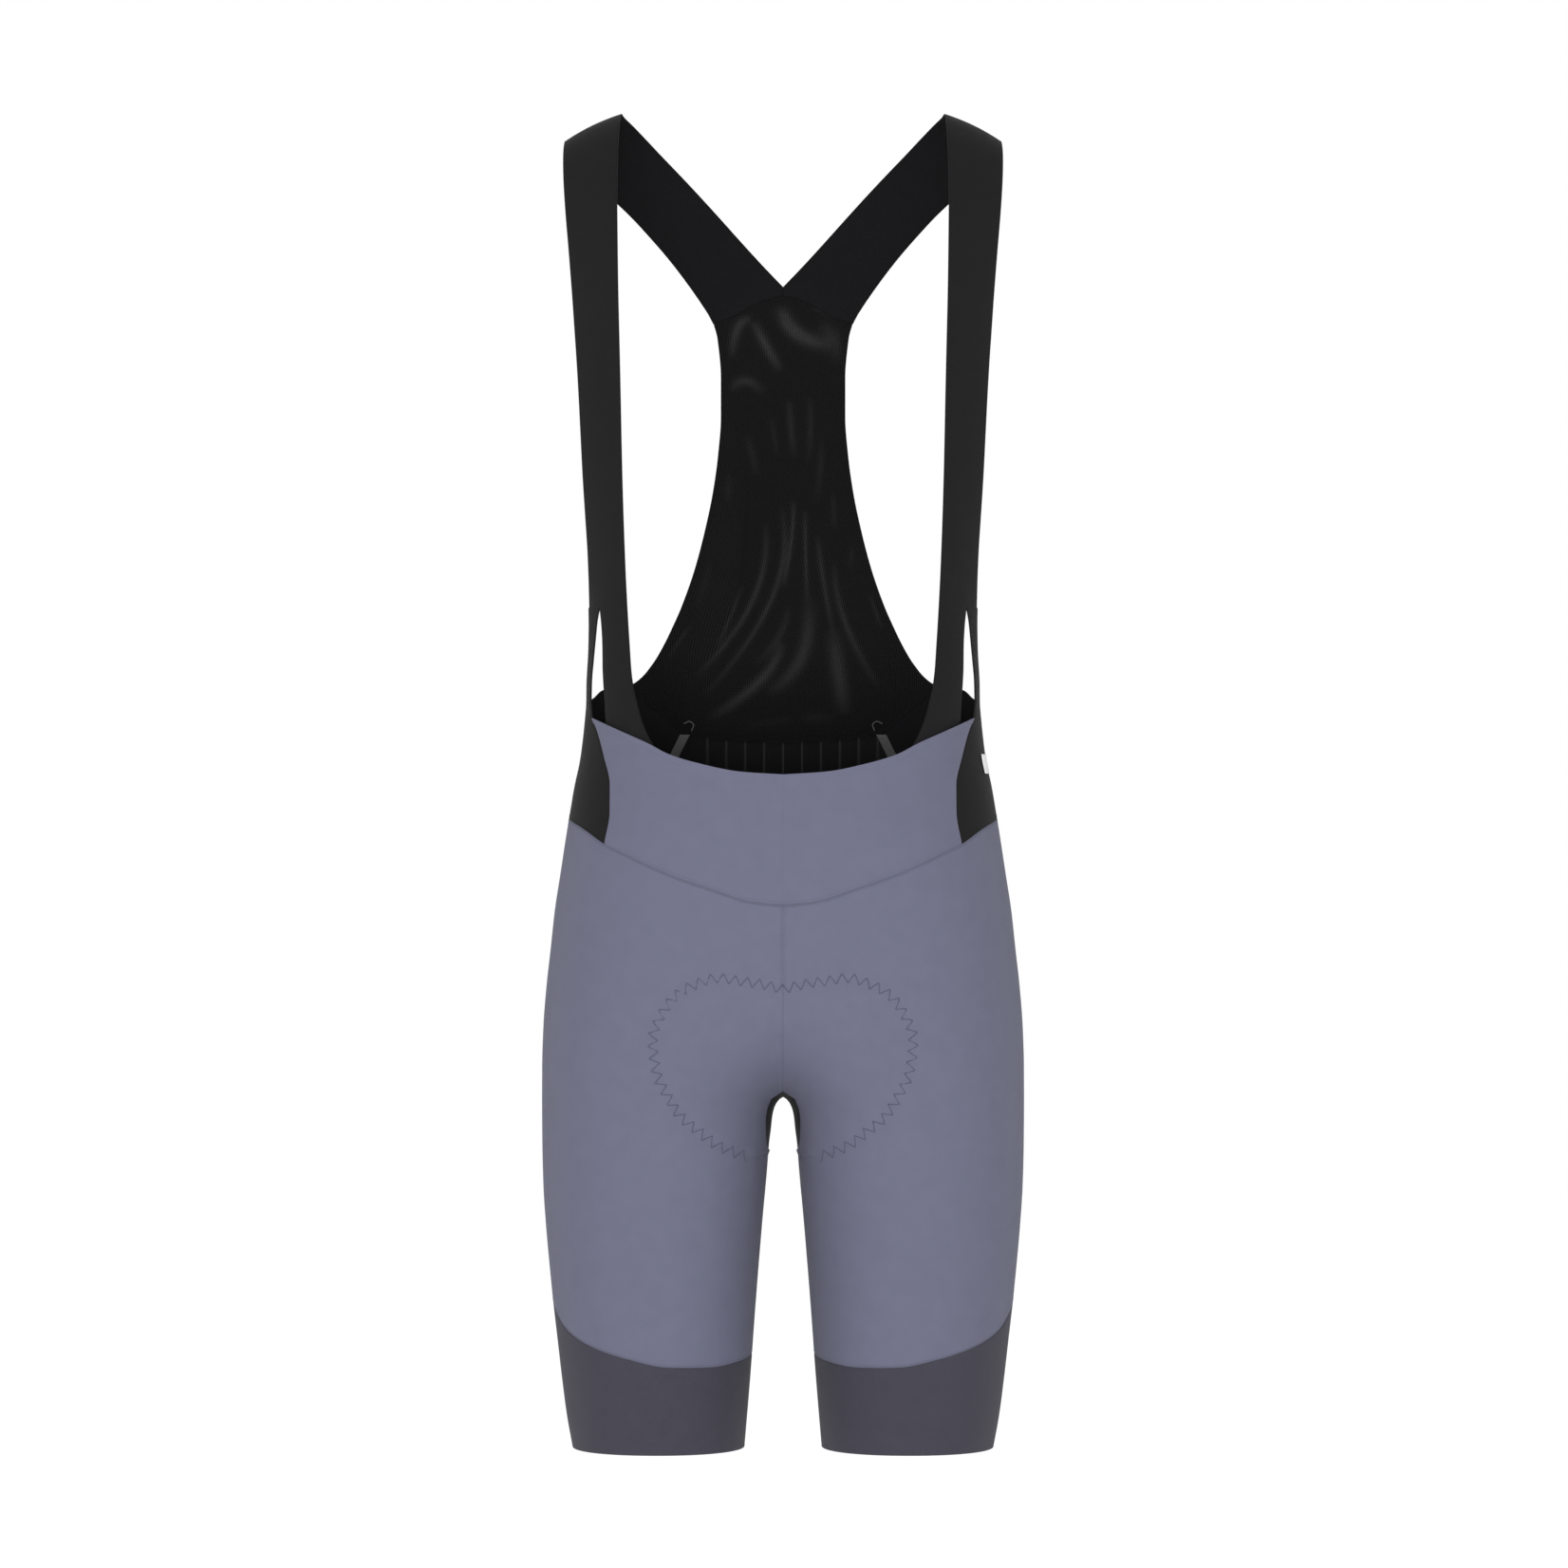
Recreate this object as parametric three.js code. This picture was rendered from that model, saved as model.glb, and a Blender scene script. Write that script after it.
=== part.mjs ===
import * as THREE from 'three';

// Cycling bib shorts in their worn shape, hollow, with no wearer. Sizes are in millimetres.
// +X is the wearer's left, the front faces -Y and +Z is up. The origin lies midway between the
// tops of the two shoulder straps, which carry the garment.

const CLOTH = 1.5; // thickness of a knit panel
const TRIM = 1; // thickness of what is bonded on a panel
const SEAM = 0.36; // room between two panels that are sewn together
const ROUNDNESS = 2.2; // exponent of the body's section, where 2 is an ellipse
const CROTCH = -674; // lowest point of the crotch
const HEM = -917; // level hem of both legs
const FRONT_RISE = 75; // height in which the front closes from the crotch to full depth
const BACK_RISE = 110; // the same at the back
const STEPS = 40; // samples on each quarter of a section

const table = (columns, ...rows) =>
  rows.map((row) => Object.fromEntries(columns.split(' ').map((name, i) => [name, row[i]])));
const end = (rows) => rows[rows.length - 1];

// Worn body by height: half width, depth in front and behind, middle of one thigh, and how
// widely the hollow between the thighs is rounded.
const BODY = table(
  'z side front back thigh crease',
  [-95, 157, 96, 95, 0, 0],
  [-180, 157, 112, 104, 0, 0],
  [-250, 150, 113, 103, 0, 0],
  [-310, 141, 106, 95, 0, 0],
  [-350, 137.3, 102, 87, 0, 0],
  [-375, 136.2, 99, 82, 0, 0],
  [-400, 136.4, 97, 80, 2, 0],
  [-413, 137.4, 97, 80, 4, 0],
  [-440, 140.6, 99, 83, 10, 2],
  [-459, 144.6, 100, 89, 17, 5],
  [-479, 148, 102, 97, 26, 9],
  [-499, 151.2, 103, 105, 36, 14],
  [-519, 154.2, 103, 112, 46, 18],
  [-545, 158.2, 102, 119, 57, 22],
  [-571, 161, 101, 123, 66, 22],
  [-598, 164, 100, 124, 74, 19],
  [-624, 166, 98, 121, 80, 14],
  [-651, 166.9, 96, 113, 84, 10],
  [-676, 167, 94, 105, 86, 6],
  [-707, 166.8, 91, 97, 87, 1],
  [-737, 166, 89, 91, 88, 0],
  [-763, 164.3, 88, 87, 88, 0],
  [-789, 162, 85, 83, 88, 0],
  [-816, 159.3, 82, 79, 88, 0],
  [-842, 156.3, 79, 75, 88, 0],
  [-869, 153.2, 75, 70, 87.5, 0],
  [-895, 149.8, 71, 66, 87, 0],
  [-917, 145.8, 68, 62, 86.5, 0],
);

// Half gap between the legs below the crotch.
const GAP = table(
  'z half',
  [-674, 0.4],
  [-676, 3],
  [-680, 5.8],
  [-687, 7.8],
  [-697, 8.9],
  [-707, 10.2],
  [-723, 11.4],
  [-763, 15],
  [-816, 19.3],
  [-869, 23.2],
  [-917, 27.2],
);

// Waistband of the front: its dipped top edge, its side edge and its lower seam, by half width.
const YOKE_TOP = table(
  'x z', [0, -450.5], [29, -448.6], [58, -442.8], [78, -436.6], [92, -429.3], [111.8, -420.4],
  [131.5, -411.5],
);
const YOKE_SIDE = table(
  'z x', [-411.5, 131.5], [-421.8, 127.3], [-438, 122.8], [-457.7, 118.4], [-476, 118.4],
  [-498, 122.1],
);
const YOKE_SEAM = table('x z', [0, -539], [20, -537], [50, -527.8], [80, -517.2], [122.1, -498]);

// Seam under the side panels and the back of the waist, by girth from the side, + to the back.
const SEAT_FALL = table(
  's z', [-80.6, -498], [-60, -490], [-45, -485.8], [-25, -482.6], [0, -480], [70, -470], [130, -466],
  [230, -465],
);
// Seam behind the outer thigh, by girth behind the side.
const THIGH_SEAM = table('z s', [-470, 62], [-530, 56], [-600, 40], [-700, 22], [-800, 12], [-830, 10]);
// Top of the leg band round one leg: 0 is the inseam, 0.25 the front and 0.5 the outside.
const BAND_TOP = table(
  'turn z', [0, -851.7], [0.105, -855], [0.16, -856.8], [0.235, -856], [0.289, -851], [0.35, -843.5],
  [0.408, -834], [0.46, -822], [0.5, -815], [0.56, -822], [0.62, -836], [0.7, -849], [0.78, -856],
  [0.88, -858], [1, -851.7],
);

// Saddle insert between the legs: heights of its front and back tips and of its lowest point,
// and the angles round its oval edge, from a tip down to that point, where panels have corners.
const INSERT = { frontTip: -668, backTip: -649, low: -711, curve: 3 };
const INSERT_TURNS = [0, 0.12, 0.35, 0.6, 0.85, 1.1, 1.34, Math.PI / 2];
const CENTRE_ROWS = 8; // rows of a leg panel down its centre seam
const INSEAM_ROWS = 9; // and down its inseam
const YOKE_COLUMNS = 12; // columns shared by half the waistband and the leg panel below it
const SIDE_COLUMNS = 8; // columns of the front leg panel below the side panel
const SEAT_COLUMNS = 15; // columns of the back leg panel
const SIDE_ROWS = 7; // rows shared by the waistband and the side panel

// Half width of the back mesh down its free edge, and the arc where the straps meet it.
const MESH_EDGE = table(
  'z x', [-129.8, 49.5], [-141, 46.6], [-169, 44.2], [-196, 44.2], [-223, 46.2], [-250, 49.9],
  [-278, 55.7], [-305, 62.7], [-332, 72], [-345, 77.6], [-359, 84.2], [-373, 92.4], [-386, 104.5],
  [-388.5, 112],
);
const MESH_ARC = table('x z', [0, -110.5], [14, -113.6], [24, -118.5], [37, -125.6], [49.5, -129.8]);
const MESH_FOOT = table('x z', [0, -428], [35, -426.4], [69.5, -421], [90, -405], [112, -388.5]);
// Seam between the ribbed back of the waist and the side panel, where a tape lies inside.
const TAPE_LINE = table('z x', [-421, 69.5], [-436, 77], [-466, 92]);
// Folds die out over these heights below the mesh's top and above its foot, and keep this share
// of their height at its free edges.
const MESH_FADE = { top: -112, over: 10, foot: -418, above: 12, edge: 0.3 };

// Soft folds of the back mesh, from their upper to their lower end.
const MESH_FOLDS = table(
  'x0 z0 x1 z1 height width',
  [7, -255, 6, -315, 1.6, 5],
  [-4, -266, -16, -352, 2, 6],
  [17, -266, 2, -380, 2, 6],
  [-15, -278, -36, -354, 1.6, 6],
  [26, -284, 42, -400, 2.2, 7],
  [38, -300, 66, -384, 1.8, 7],
  [-35, -325, -48, -358, 1.4, 6],
  [-6, -358, -52, -408, 2.2, 8],
  [64, -325, 72, -346, 1.2, 6],
  [-70, -344, -82, -368, 1.2, 6],
  [-2, -118, 28, -140, 2, 7],
  [-25, -126, -3, -162, 1.8, 8],
);

// Front strap: half widths of its inner and outer edges where it lies on the chest.
const STRAP = table(
  'z inner outer', [-335, 106.8, 133.4], [-310, 108, 133.9], [-246, 109.9, 137.4], [-181, 111.2, 140.6],
  [-121, 112.8, 144.9],
);
// Strap from the collar bone over the shoulder to the middle of the back.
const SHOULDER = table(
  'ix iy iz ox oy oz',
  [113.5, -65, -86, 147.6, -38, -89],
  [114, -54, -54, 150.2, -31, -60],
  [114, -41, -28, 151.8, -22, -37],
  [113.6, -26, -8, 152.3, -11, -20.5],
  [113, -9, 5, 152, 1, -12],
  [112.2, 7, 9.2, 151.4, 12, -9.6],
  [110.3, 20, 7.6, 148.2, 25, -14.5],
  [105.2, 31, 3.6, 141, 37, -24.5],
  [97, 42, -4, 131, 45.5, -36],
  [86, 53, -14.8, 119.5, 51, -46.5],
  [74, 63, -26.5, 107, 57, -58],
  [61.6, 72, -39, 94.5, 64.5, -71],
  [47, 80.5, -54.3, 81.5, 73, -85.5],
  [32.6, 87.5, -69.8, 69.5, 81.5, -100.5],
  [17.5, 92.6, -86, 59, 88.5, -115],
  [7, 94.6, -97, 53, 92.5, -124],
);
// Below the slit the strap parts: its inner branch goes inside the waistband, and its outer
// branch turns round the side and widens into the side panel.
const INNER_BRANCH = table(
  'z inner outer inside', [-335, 106.8, 126, 0], [-349, 106, 124.6, 0], [-362, 105.2, 124, 0],
  [-375, 104.4, 123.9, 0], [-388, 103.4, 123.9, 0.6], [-401, 101.2, 123.8, 1.6], [-413, 98, 123.5, 2],
  [-424, 93.2, 122.5, 2], [-436, 86, 120, 2],
);
const SLIT_EDGE = table(
  'z x', [-335, 126], [-345, 128], [-359, 129.6], [-372, 131], [-386, 132.3], [-400, 132.6],
  [-411.5, 131.5],
);
// Edge of the arm opening down to its lowest point, and from there up to the mesh.
const ARMHOLE = table('s z', [-31, -335], [-27, -350], [-20, -367], [-9, -384], [3, -395], [13, -399.5]);
const ARMHOLE_FOOT = table('s z', [13, -399.5], [24, -397], [36, -391.5], [50, -388.7]);

const STRAP_BOW = 1.6; // how far the middle of a strap stands out
const NOTCH = -104.5; // top of the seam that joins the two straps
const LUMBAR_RIB = { pitch: 13.4, height: 0.5 };
const TAPE = { width: 7.4, under: 0.4, drop: 1 };
const PATCH_LIFT = 0.6;
const PATCH = { front: -29, back: -12, top: -436.5, bottom: -450 };

// Smooth curve through one column of a table, without overshoot, at a value of its key column.
function read(rows, key, name, value) {
  const ordered = rows[0][key] < rows[rows.length - 1][key] ? rows : [...rows].reverse();
  const last = ordered.length - 1;
  const held = Math.min(Math.max(value, ordered[0][key]), ordered[last][key]);
  const span = (i) => ordered[i + 1][key] - ordered[i][key];
  const rise = (i) => (ordered[i + 1][name] - ordered[i][name]) / span(i);
  const slope = (i) => {
    if (i === 0) return rise(0);
    if (i === last) return rise(last - 1);
    const [before, after] = [rise(i - 1), rise(i)];
    return before * after <= 0 ? 0 : (2 * before * after) / (before + after);
  };
  let i = 0;
  while (i < last - 1 && held > ordered[i + 1][key]) i += 1;
  const t = (held - ordered[i][key]) / span(i);
  const flat = t * t * (3 - 2 * t);
  const lead = t * (1 - t) * (1 - t) * span(i) * slope(i);
  const trail = t * t * (t - 1) * span(i) * slope(i + 1);
  return ordered[i][name] * (1 - flat) + ordered[i + 1][name] * flat + lead + trail;
}

const body = (name, z) => read(BODY, 'z', name, z);

// How far in from the thigh's middle the section reaches: to the gap below the crotch, and
// above it as far as the rise allows, where the two thighs have grown together.
function inward(z, height) {
  const thigh = body('thigh', z);
  const crease = body('crease', z);
  if (z <= CROTCH) {
    const reach = thigh - Math.hypot(read(GAP, 'z', 'half', z), crease);
    return { reach, start: 0 };
  }
  const climb = Math.min((z - CROTCH) / height, 1);
  const closed = Math.min(Math.sqrt(1 - (1 - climb) ** 2), 0.9995);
  const reach = Math.max(thigh - crease, 0.01) / (1 - closed ** ROUNDNESS) ** (1 / ROUNDNESS);
  const share = Math.max(thigh - crease, 0.01) / reach;
  return { reach, start: Math.acos(share ** (ROUNDNESS / 2)) };
}

const sections = new Map();

// Half of the body's section at a height, from the centre front (or the inseam) round the side
// to the centre back, with the girth measured from the side.
function section(z) {
  const key = Math.round(z * 1000);
  if (sections.has(key)) return sections.get(key);
  const [side, front, back] = ['side', 'front', 'back'].map((column) => body(column, z));
  const [thigh, crease] = ['thigh', 'crease'].map((column) => body(column, z));
  const outward = Math.hypot(side, crease) - thigh;
  const points = [];
  const quarter = (from, to, reach, depth) => {
    for (let i = points.length ? 1 : 0; i <= STEPS; i += 1) {
      const angle = from + ((to - from) * i) / STEPS;
      const x = thigh + reach * Math.abs(Math.cos(angle)) ** (2 / ROUNDNESS);
      const y = depth * Math.abs(Math.sin(angle)) ** (2 / ROUNDNESS);
      points.push({ x: Math.sqrt(Math.max(x * x - crease * crease, 0)), y });
    }
  };
  const [ahead, behind] = [inward(z, FRONT_RISE), inward(z, BACK_RISE)];
  quarter(ahead.start, Math.PI / 2, -ahead.reach, -front);
  quarter(Math.PI / 2, 0, outward, -front);
  quarter(0, Math.PI / 2, outward, back);
  quarter(Math.PI / 2, behind.start, -behind.reach, back);
  points[0].x = z > CROTCH ? 0 : points[0].x;
  points[4 * STEPS].x = z > CROTCH ? 0 : points[0].x;
  let girth = 0;
  points.forEach((point, i) => {
    const before = points[Math.max(i - 1, 0)];
    girth += Math.hypot(point.x - before.x, point.y - before.y);
    point.girth = girth;
  });
  const side0 = points[2 * STEPS].girth;
  for (const point of points) point.s = point.girth - side0;
  const result = { points, front: points[0].s, back: points[4 * STEPS].s };
  sections.set(key, result);
  return result;
}

// A point of the worn body at a height and a girth from the side, moved out by a lift.
function skin(s, z, lift = 0) {
  const { points } = section(z);
  let low = 0;
  let high = points.length - 1;
  while (high - low > 1) {
    const middle = (low + high) >> 1;
    if (points[middle].s <= s) low = middle;
    else high = middle;
  }
  const [a, b] = [points[low], points[high]];
  const t = (s - a.s) / (b.s - a.s || 1);
  const [dx, dy] = [b.x - a.x, b.y - a.y];
  const length = Math.hypot(dx, dy) || 1;
  return new THREE.Vector3(a.x + dx * t + (dy / length) * lift, a.y + dy * t - (dx / length) * lift, z);
}

// Girth at which a quarter range of the section passes a value of x or y.
function crossing(z, fromQuarter, toQuarter, axis, value) {
  const { points } = section(z);
  for (let i = fromQuarter * STEPS; i < toQuarter * STEPS; i += 1) {
    const [a, b] = [points[i][axis] - value, points[i + 1][axis] - value];
    if (a * b <= 0 && a !== b) return points[i].s + ((points[i + 1].s - points[i].s) * a) / (a - b);
  }
  const [first, last] = [points[fromQuarter * STEPS], points[toQuarter * STEPS]];
  return Math.abs(first[axis] - value) < Math.abs(last[axis] - value) ? first.s : last.s;
}

const onFront = (x, z) => [crossing(z, 0, 2, 'x', x), z];
const onBack = (x, z) => [crossing(z, 2, 4, 'x', x), z];
const centreFront = (z) => [section(z).front, z];
const centreBack = (z) => [section(z).back, z];

// A line drawn on the body: a function of 0 to 1 giving girth and height, sampled finely.
const draw = (line, from = 0, to = 1, count = 48) =>
  Array.from({ length: count + 1 }, (_, i) => line(from + ((to - from) * i) / count));
const ramp = (from, to) => (t) => from + (to - from) * t;

// The same line with points spread evenly along its length on the body.
function spread(line, count) {
  const places = line.map(([s, z]) => skin(s, z));
  const lengths = [0];
  for (let i = 1; i < places.length; i += 1) {
    lengths.push(lengths[i - 1] + places[i].distanceTo(places[i - 1]));
  }
  return Array.from({ length: count + 1 }, (_, k) => {
    const target = (lengths[places.length - 1] * k) / count;
    let i = 0;
    while (i < places.length - 2 && lengths[i + 1] < target) i += 1;
    const t = (target - lengths[i]) / (lengths[i + 1] - lengths[i] || 1);
    return [0, 1].map((k2) => line[i][k2] + (line[i + 1][k2] - line[i][k2]) * t);
  });
}

// Cuts back one side of a panel by an amount, towards the panel, and leaves it at the panel's
// corners as far in as the two neighbouring sides are cut.
function cutBack(line, amount, turn, startCut, endCut) {
  const last = line.length - 1;
  const along = (i) => {
    const [a, b] = [line[Math.max(i - 1, 0)], line[Math.min(i + 1, last)]];
    const length = Math.hypot(b[0] - a[0], b[1] - a[1]) || 1;
    return [(b[0] - a[0]) / length, (b[1] - a[1]) / length];
  };
  return line.map(([s, z], i) => {
    const [ds, dz] = along(i);
    const pull = startCut * (1 - i / last) ** 8 - endCut * (i / last) ** 8;
    return [s - dz * turn * amount + ds * pull, z + ds * turn * amount + dz * pull];
  });
}

// A cut piece: the patch of body between four seam lines, as rows of points. The cuts are how
// far each side keeps clear of its neighbour, and shape lifts a point off the body.
function panel({ top, right, bottom, left }, columns, rows, cuts = [0, 0, 0, 0], shape = () => 0) {
  const even = (line, count) => (line.length === count + 1 ? line : spread(line, count));
  const [up, down] = [even(top, columns), even(bottom, columns)];
  const [near, far] = [even(left, rows), even(right, rows)];
  const hand = Math.sign(up[columns][0] - up[0][0]);
  const inUp = cutBack(up, cuts[0], -hand, cuts[3], cuts[1]);
  const inDown = cutBack(down, cuts[2], hand, cuts[3], cuts[1]);
  const inNear = cutBack(near, cuts[3], hand, cuts[0], cuts[2]);
  const inFar = cutBack(far, cuts[1], -hand, cuts[0], cuts[2]);
  const corner = (a, b) => [(a[0] + b[0]) / 2, (a[1] + b[1]) / 2];
  const [c00, c10] = [corner(inUp[0], inNear[0]), corner(inUp[columns], inFar[0])];
  const [c01, c11] = [corner(inDown[0], inNear[rows]), corner(inDown[columns], inFar[rows])];
  return Array.from({ length: rows + 1 }, (_, j) =>
    Array.from({ length: columns + 1 }, (_unused, i) => {
      const [u, v] = [i / columns, j / rows];
      const place = [0, 1].map((k) => {
        const upDown = (1 - v) * inUp[i][k] + v * inDown[i][k];
        const nearFar = (1 - u) * inNear[j][k] + u * inFar[j][k];
        const corners = (1 - v) * ((1 - u) * c00[k] + u * c10[k]) + v * ((1 - u) * c01[k] + u * c11[k]);
        return upDown + nearFar - corners;
      });
      const flat = skin(place[0], place[1]);
      const lift = shape(flat, i, j);
      return lift ? skin(place[0], place[1], lift) : flat;
    }),
  );
}

const grid = (rows) => {
  const quads = [];
  for (let j = 0; j + 1 < rows.length; j += 1) {
    for (let i = 0; i + 1 < rows[j].length; i += 1) {
      quads.push([rows[j][i], rows[j + 1][i], rows[j + 1][i + 1], rows[j][i + 1]]);
    }
  }
  return quads;
};
const flip = (point) => new THREE.Vector3(-point.x, point.y, point.z);
const mirror = (quads) => quads.map(([a, b, c, d]) => [a, d, c, b].map(flip));

// Joins the two halves of a panel along the centre line, its first column.
function whole(rightRows, leftRows = rightRows) {
  const centred = (rows) => rows.map((row, j) => [rightRows[j][0].clone().setX(0), ...row.slice(1)]);
  return [...grid(centred(rightRows)), ...mirror(grid(centred(leftRows)))];
}

// Gives a sheet of quads its thickness, half to each side, and closes its edges.
function wall(quads, thickness) {
  const found = new Map();
  const points = [];
  const index = (point) => {
    const key = [point.x, point.y, point.z].map((v) => Math.round(v * 500)).join();
    if (!found.has(key)) found.set(key, points.push(point) - 1);
    return found.get(key);
  };
  const faces = [];
  for (const quad of quads) {
    const [a, b, c, d] = quad.map(index);
    for (const face of [[a, b, c], [a, c, d]]) if (new Set(face).size === 3) faces.push(face);
  }
  const normals = points.map(() => new THREE.Vector3());
  const edges = new Set();
  for (const [a, b, c] of faces) {
    const normal = points[b].clone().sub(points[a]).cross(points[c].clone().sub(points[a]));
    for (const corner of [a, b, c]) normals[corner].add(normal);
    for (const edge of [[a, b], [b, c], [c, a]]) edges.add(edge.join());
  }
  points.forEach((point, i) => {
    if (Math.abs(point.x) < SEAM) normals[i].x = 0; // both halves turn over square to the centre line
    normals[i].normalize();
  });
  const positions = [];
  for (const way of [1, -1]) {
    points.forEach((point, i) => {
      const moved = point.clone().addScaledVector(normals[i], (way * thickness) / 2);
      positions.push(moved.x, moved.y, moved.z);
    });
  }
  const under = points.length;
  const triangles = faces.flatMap(([a, b, c]) => [a, b, c, c + under, b + under, a + under]);
  for (const edge of edges) {
    const [a, b] = edge.split(',').map(Number);
    if (!edges.has(`${b},${a}`)) triangles.push(b, a, a + under, b, a + under, b + under);
  }
  const geometry = new THREE.BufferGeometry();
  geometry.setAttribute('position', new THREE.Float32BufferAttribute(positions, 3));
  geometry.setIndex(triangles);
  geometry.computeVertexNormals();
  return geometry;
}

const seatHeight = (s) => read(SEAT_FALL, 's', 'z', s);
const seatLine = (from, to) => draw((t) => [ramp(from, to)(t), seatHeight(ramp(from, to)(t))]);
const yokeCorner = onFront(end(YOKE_SEAM).x, end(YOKE_SEAM).z);
const seatCentre = centreBack(end(SEAT_FALL).z);
const tapeFoot = (() => {
  const [s] = onBack(end(TAPE_LINE).x, end(TAPE_LINE).z);
  return [s, seatHeight(s)];
})();

// A line on the front or back of the body that follows a table of heights by half width.
const across = (rows, side, from = rows[0].x, to = end(rows).x) =>
  draw((t) => side(ramp(from, to)(t), read(rows, 'x', 'z', ramp(from, to)(t))));
// The same for a table of half widths by height.
const upright = (rows, side) =>
  draw((t) => {
    const z = ramp(rows[0].z, end(rows).z)(t);
    return side(read(rows, 'z', 'x', z), z);
  });
const tapeLine = [...upright(TAPE_LINE, onBack).slice(0, -1), tapeFoot];
const meshSeam = across(MESH_FOOT, onBack, end(MESH_FOOT).x, TAPE_LINE[0].x);
const waistSeam = across(MESH_FOOT, onBack, 0, TAPE_LINE[0].x);

// A place on the band's top seam, by its share of the leg's girth from the inseam.
function bandTop(turn) {
  const z = read(BAND_TOP, 'turn', 'z', turn);
  const { front, back } = section(z);
  return [front + turn * (back - front), z];
}
const outerTurn = (() => {
  let turn = 0.5;
  for (let i = 0; i < 12; i += 1) {
    const z = read(BAND_TOP, 'turn', 'z', turn);
    const { front, back } = section(z);
    turn = (read(THIGH_SEAM, 'z', 's', z) - front) / (back - front);
  }
  return turn;
})();

// Edge of the saddle insert at an angle from a tip: behind is 0 at its front and 1 at its back.
// Clear moves the edge in towards the insert, square to itself.
function insertEdge(turn, behind, clear = 0) {
  const tip = behind ? INSERT.backTip : INSERT.frontTip;
  const ends = section(tip).points;
  const depth = Math.abs(ends[behind ? ends.length - 1 : 0].y);
  const at = (angle) => ({
    y: (behind ? 1 : -1) * depth * Math.max(Math.cos(angle), 0) ** (2 / INSERT.curve),
    z: tip + (INSERT.low - tip) * Math.sin(angle) ** (2 / INSERT.curve),
  });
  const [a, b, here] = [at(Math.max(turn - 0.02, 0)), at(Math.min(turn + 0.02, Math.PI / 2)), at(turn)];
  const length = Math.hypot(b.y - a.y, b.z - a.z);
  const side = behind ? 1 : -1;
  const shift = (side * clear) / length;
  return { y: here.y + shift * (b.z - a.z), z: here.z - shift * (b.y - a.y) };
}
const onInsertEdge = (turn, behind) => {
  const { y, z } = insertEdge(turn, behind);
  const { front, back } = section(z);
  if (turn === 0) return [behind ? back : front, z];
  if (turn === Math.PI / 2) return [behind ? back - SEAM / 2 : front + SEAM / 2, z];
  return [behind ? crossing(z, 3, 4, 'y', y) : crossing(z, 0, 1, 'y', y), z];
};
const LEG_ROWS = CENTRE_ROWS + INSERT_TURNS.length - 1 + INSEAM_ROWS;

// Inner side of a leg panel, front or back: the centre seam, the insert's edge, then the inseam.
function legInside(top, behind) {
  const centre = behind ? centreBack : centreFront;
  const tip = behind ? INSERT.backTip : INSERT.frontTip;
  const clear = ((behind ? -1 : 1) * SEAM) / 2;
  const inseam = draw((t) => {
    const [s, z] = centre(ramp(INSERT.low, bandTop(0)[1] + SEAM)(t));
    return [s + clear, z];
  });
  return [
    ...spread(draw((t) => centre(ramp(top, tip)(t))), CENTRE_ROWS),
    ...INSERT_TURNS.slice(1).map((turn) => onInsertEdge(turn, behind)),
    ...spread(inseam, INSEAM_ROWS).slice(1),
  ];
}
// Keeps the centre seam of a leg panel clear of the other leg.
function clearCentre(rows, column) {
  for (const row of rows.slice(0, CENTRE_ROWS + 1)) row[column].setX(SEAM / 2);
  return rows;
}

// Half width of the inner thigh at a depth and a height, and the height where it closes.
function innerThigh(y, z) {
  const ahead = y < 0;
  const { reach } = inward(z, ahead ? FRONT_RISE : BACK_RISE);
  const share = Math.min(Math.abs(y) / body(ahead ? 'front' : 'back', z), 1);
  const x = body('thigh', z) - reach * (1 - share ** ROUNDNESS) ** (1 / ROUNDNESS);
  return Math.sqrt(Math.max(x * x - body('crease', z) ** 2, 0));
}
function closing(y) {
  let [open, shut] = [INSERT.low, -560];
  for (let i = 0; i < 40; i += 1) {
    const middle = (open + shut) / 2;
    const height = y < 0 ? FRONT_RISE : BACK_RISE;
    const climb = Math.min(Math.max((middle - CROTCH) / height, 0), 1);
    const closed = Math.sqrt(1 - (1 - climb) ** 2) * body(y < 0 ? 'front' : 'back', middle);
    if (closed < Math.abs(y)) open = middle;
    else shut = middle;
  }
  return (open + shut) / 2;
}

function frontYoke() {
  const sides = {
    top: across(YOKE_TOP, onFront),
    right: upright(YOKE_SIDE, onFront),
    bottom: across(YOKE_SEAM, onFront),
    left: draw((t) => centreFront(ramp(YOKE_TOP[0].z, YOKE_SEAM[0].z)(t))),
  };
  return wall(whole(panel(sides, YOKE_COLUMNS, SIDE_ROWS, [0, 1.2 * SEAM, 0, 0])), CLOTH);
}

function thighSide(top, bottom) {
  const line = draw((t) => {
    const z = ramp(top, bottom[1])(t);
    return [read(THIGH_SEAM, 'z', 's', z), z];
  });
  return [...line.slice(0, -1), bottom];
}
const seatCorner = [THIGH_SEAM[0].s, seatHeight(THIGH_SEAM[0].s)];
const frontTurns = Array.from(
  { length: YOKE_COLUMNS + SIDE_COLUMNS + 1 }, (_, i) => (outerTurn * i) / (YOKE_COLUMNS + SIDE_COLUMNS),
);
const backTurns = Array.from(
  { length: SEAT_COLUMNS + 1 }, (_, i) => ramp(outerTurn, 1)(i / SEAT_COLUMNS),
);

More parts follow.
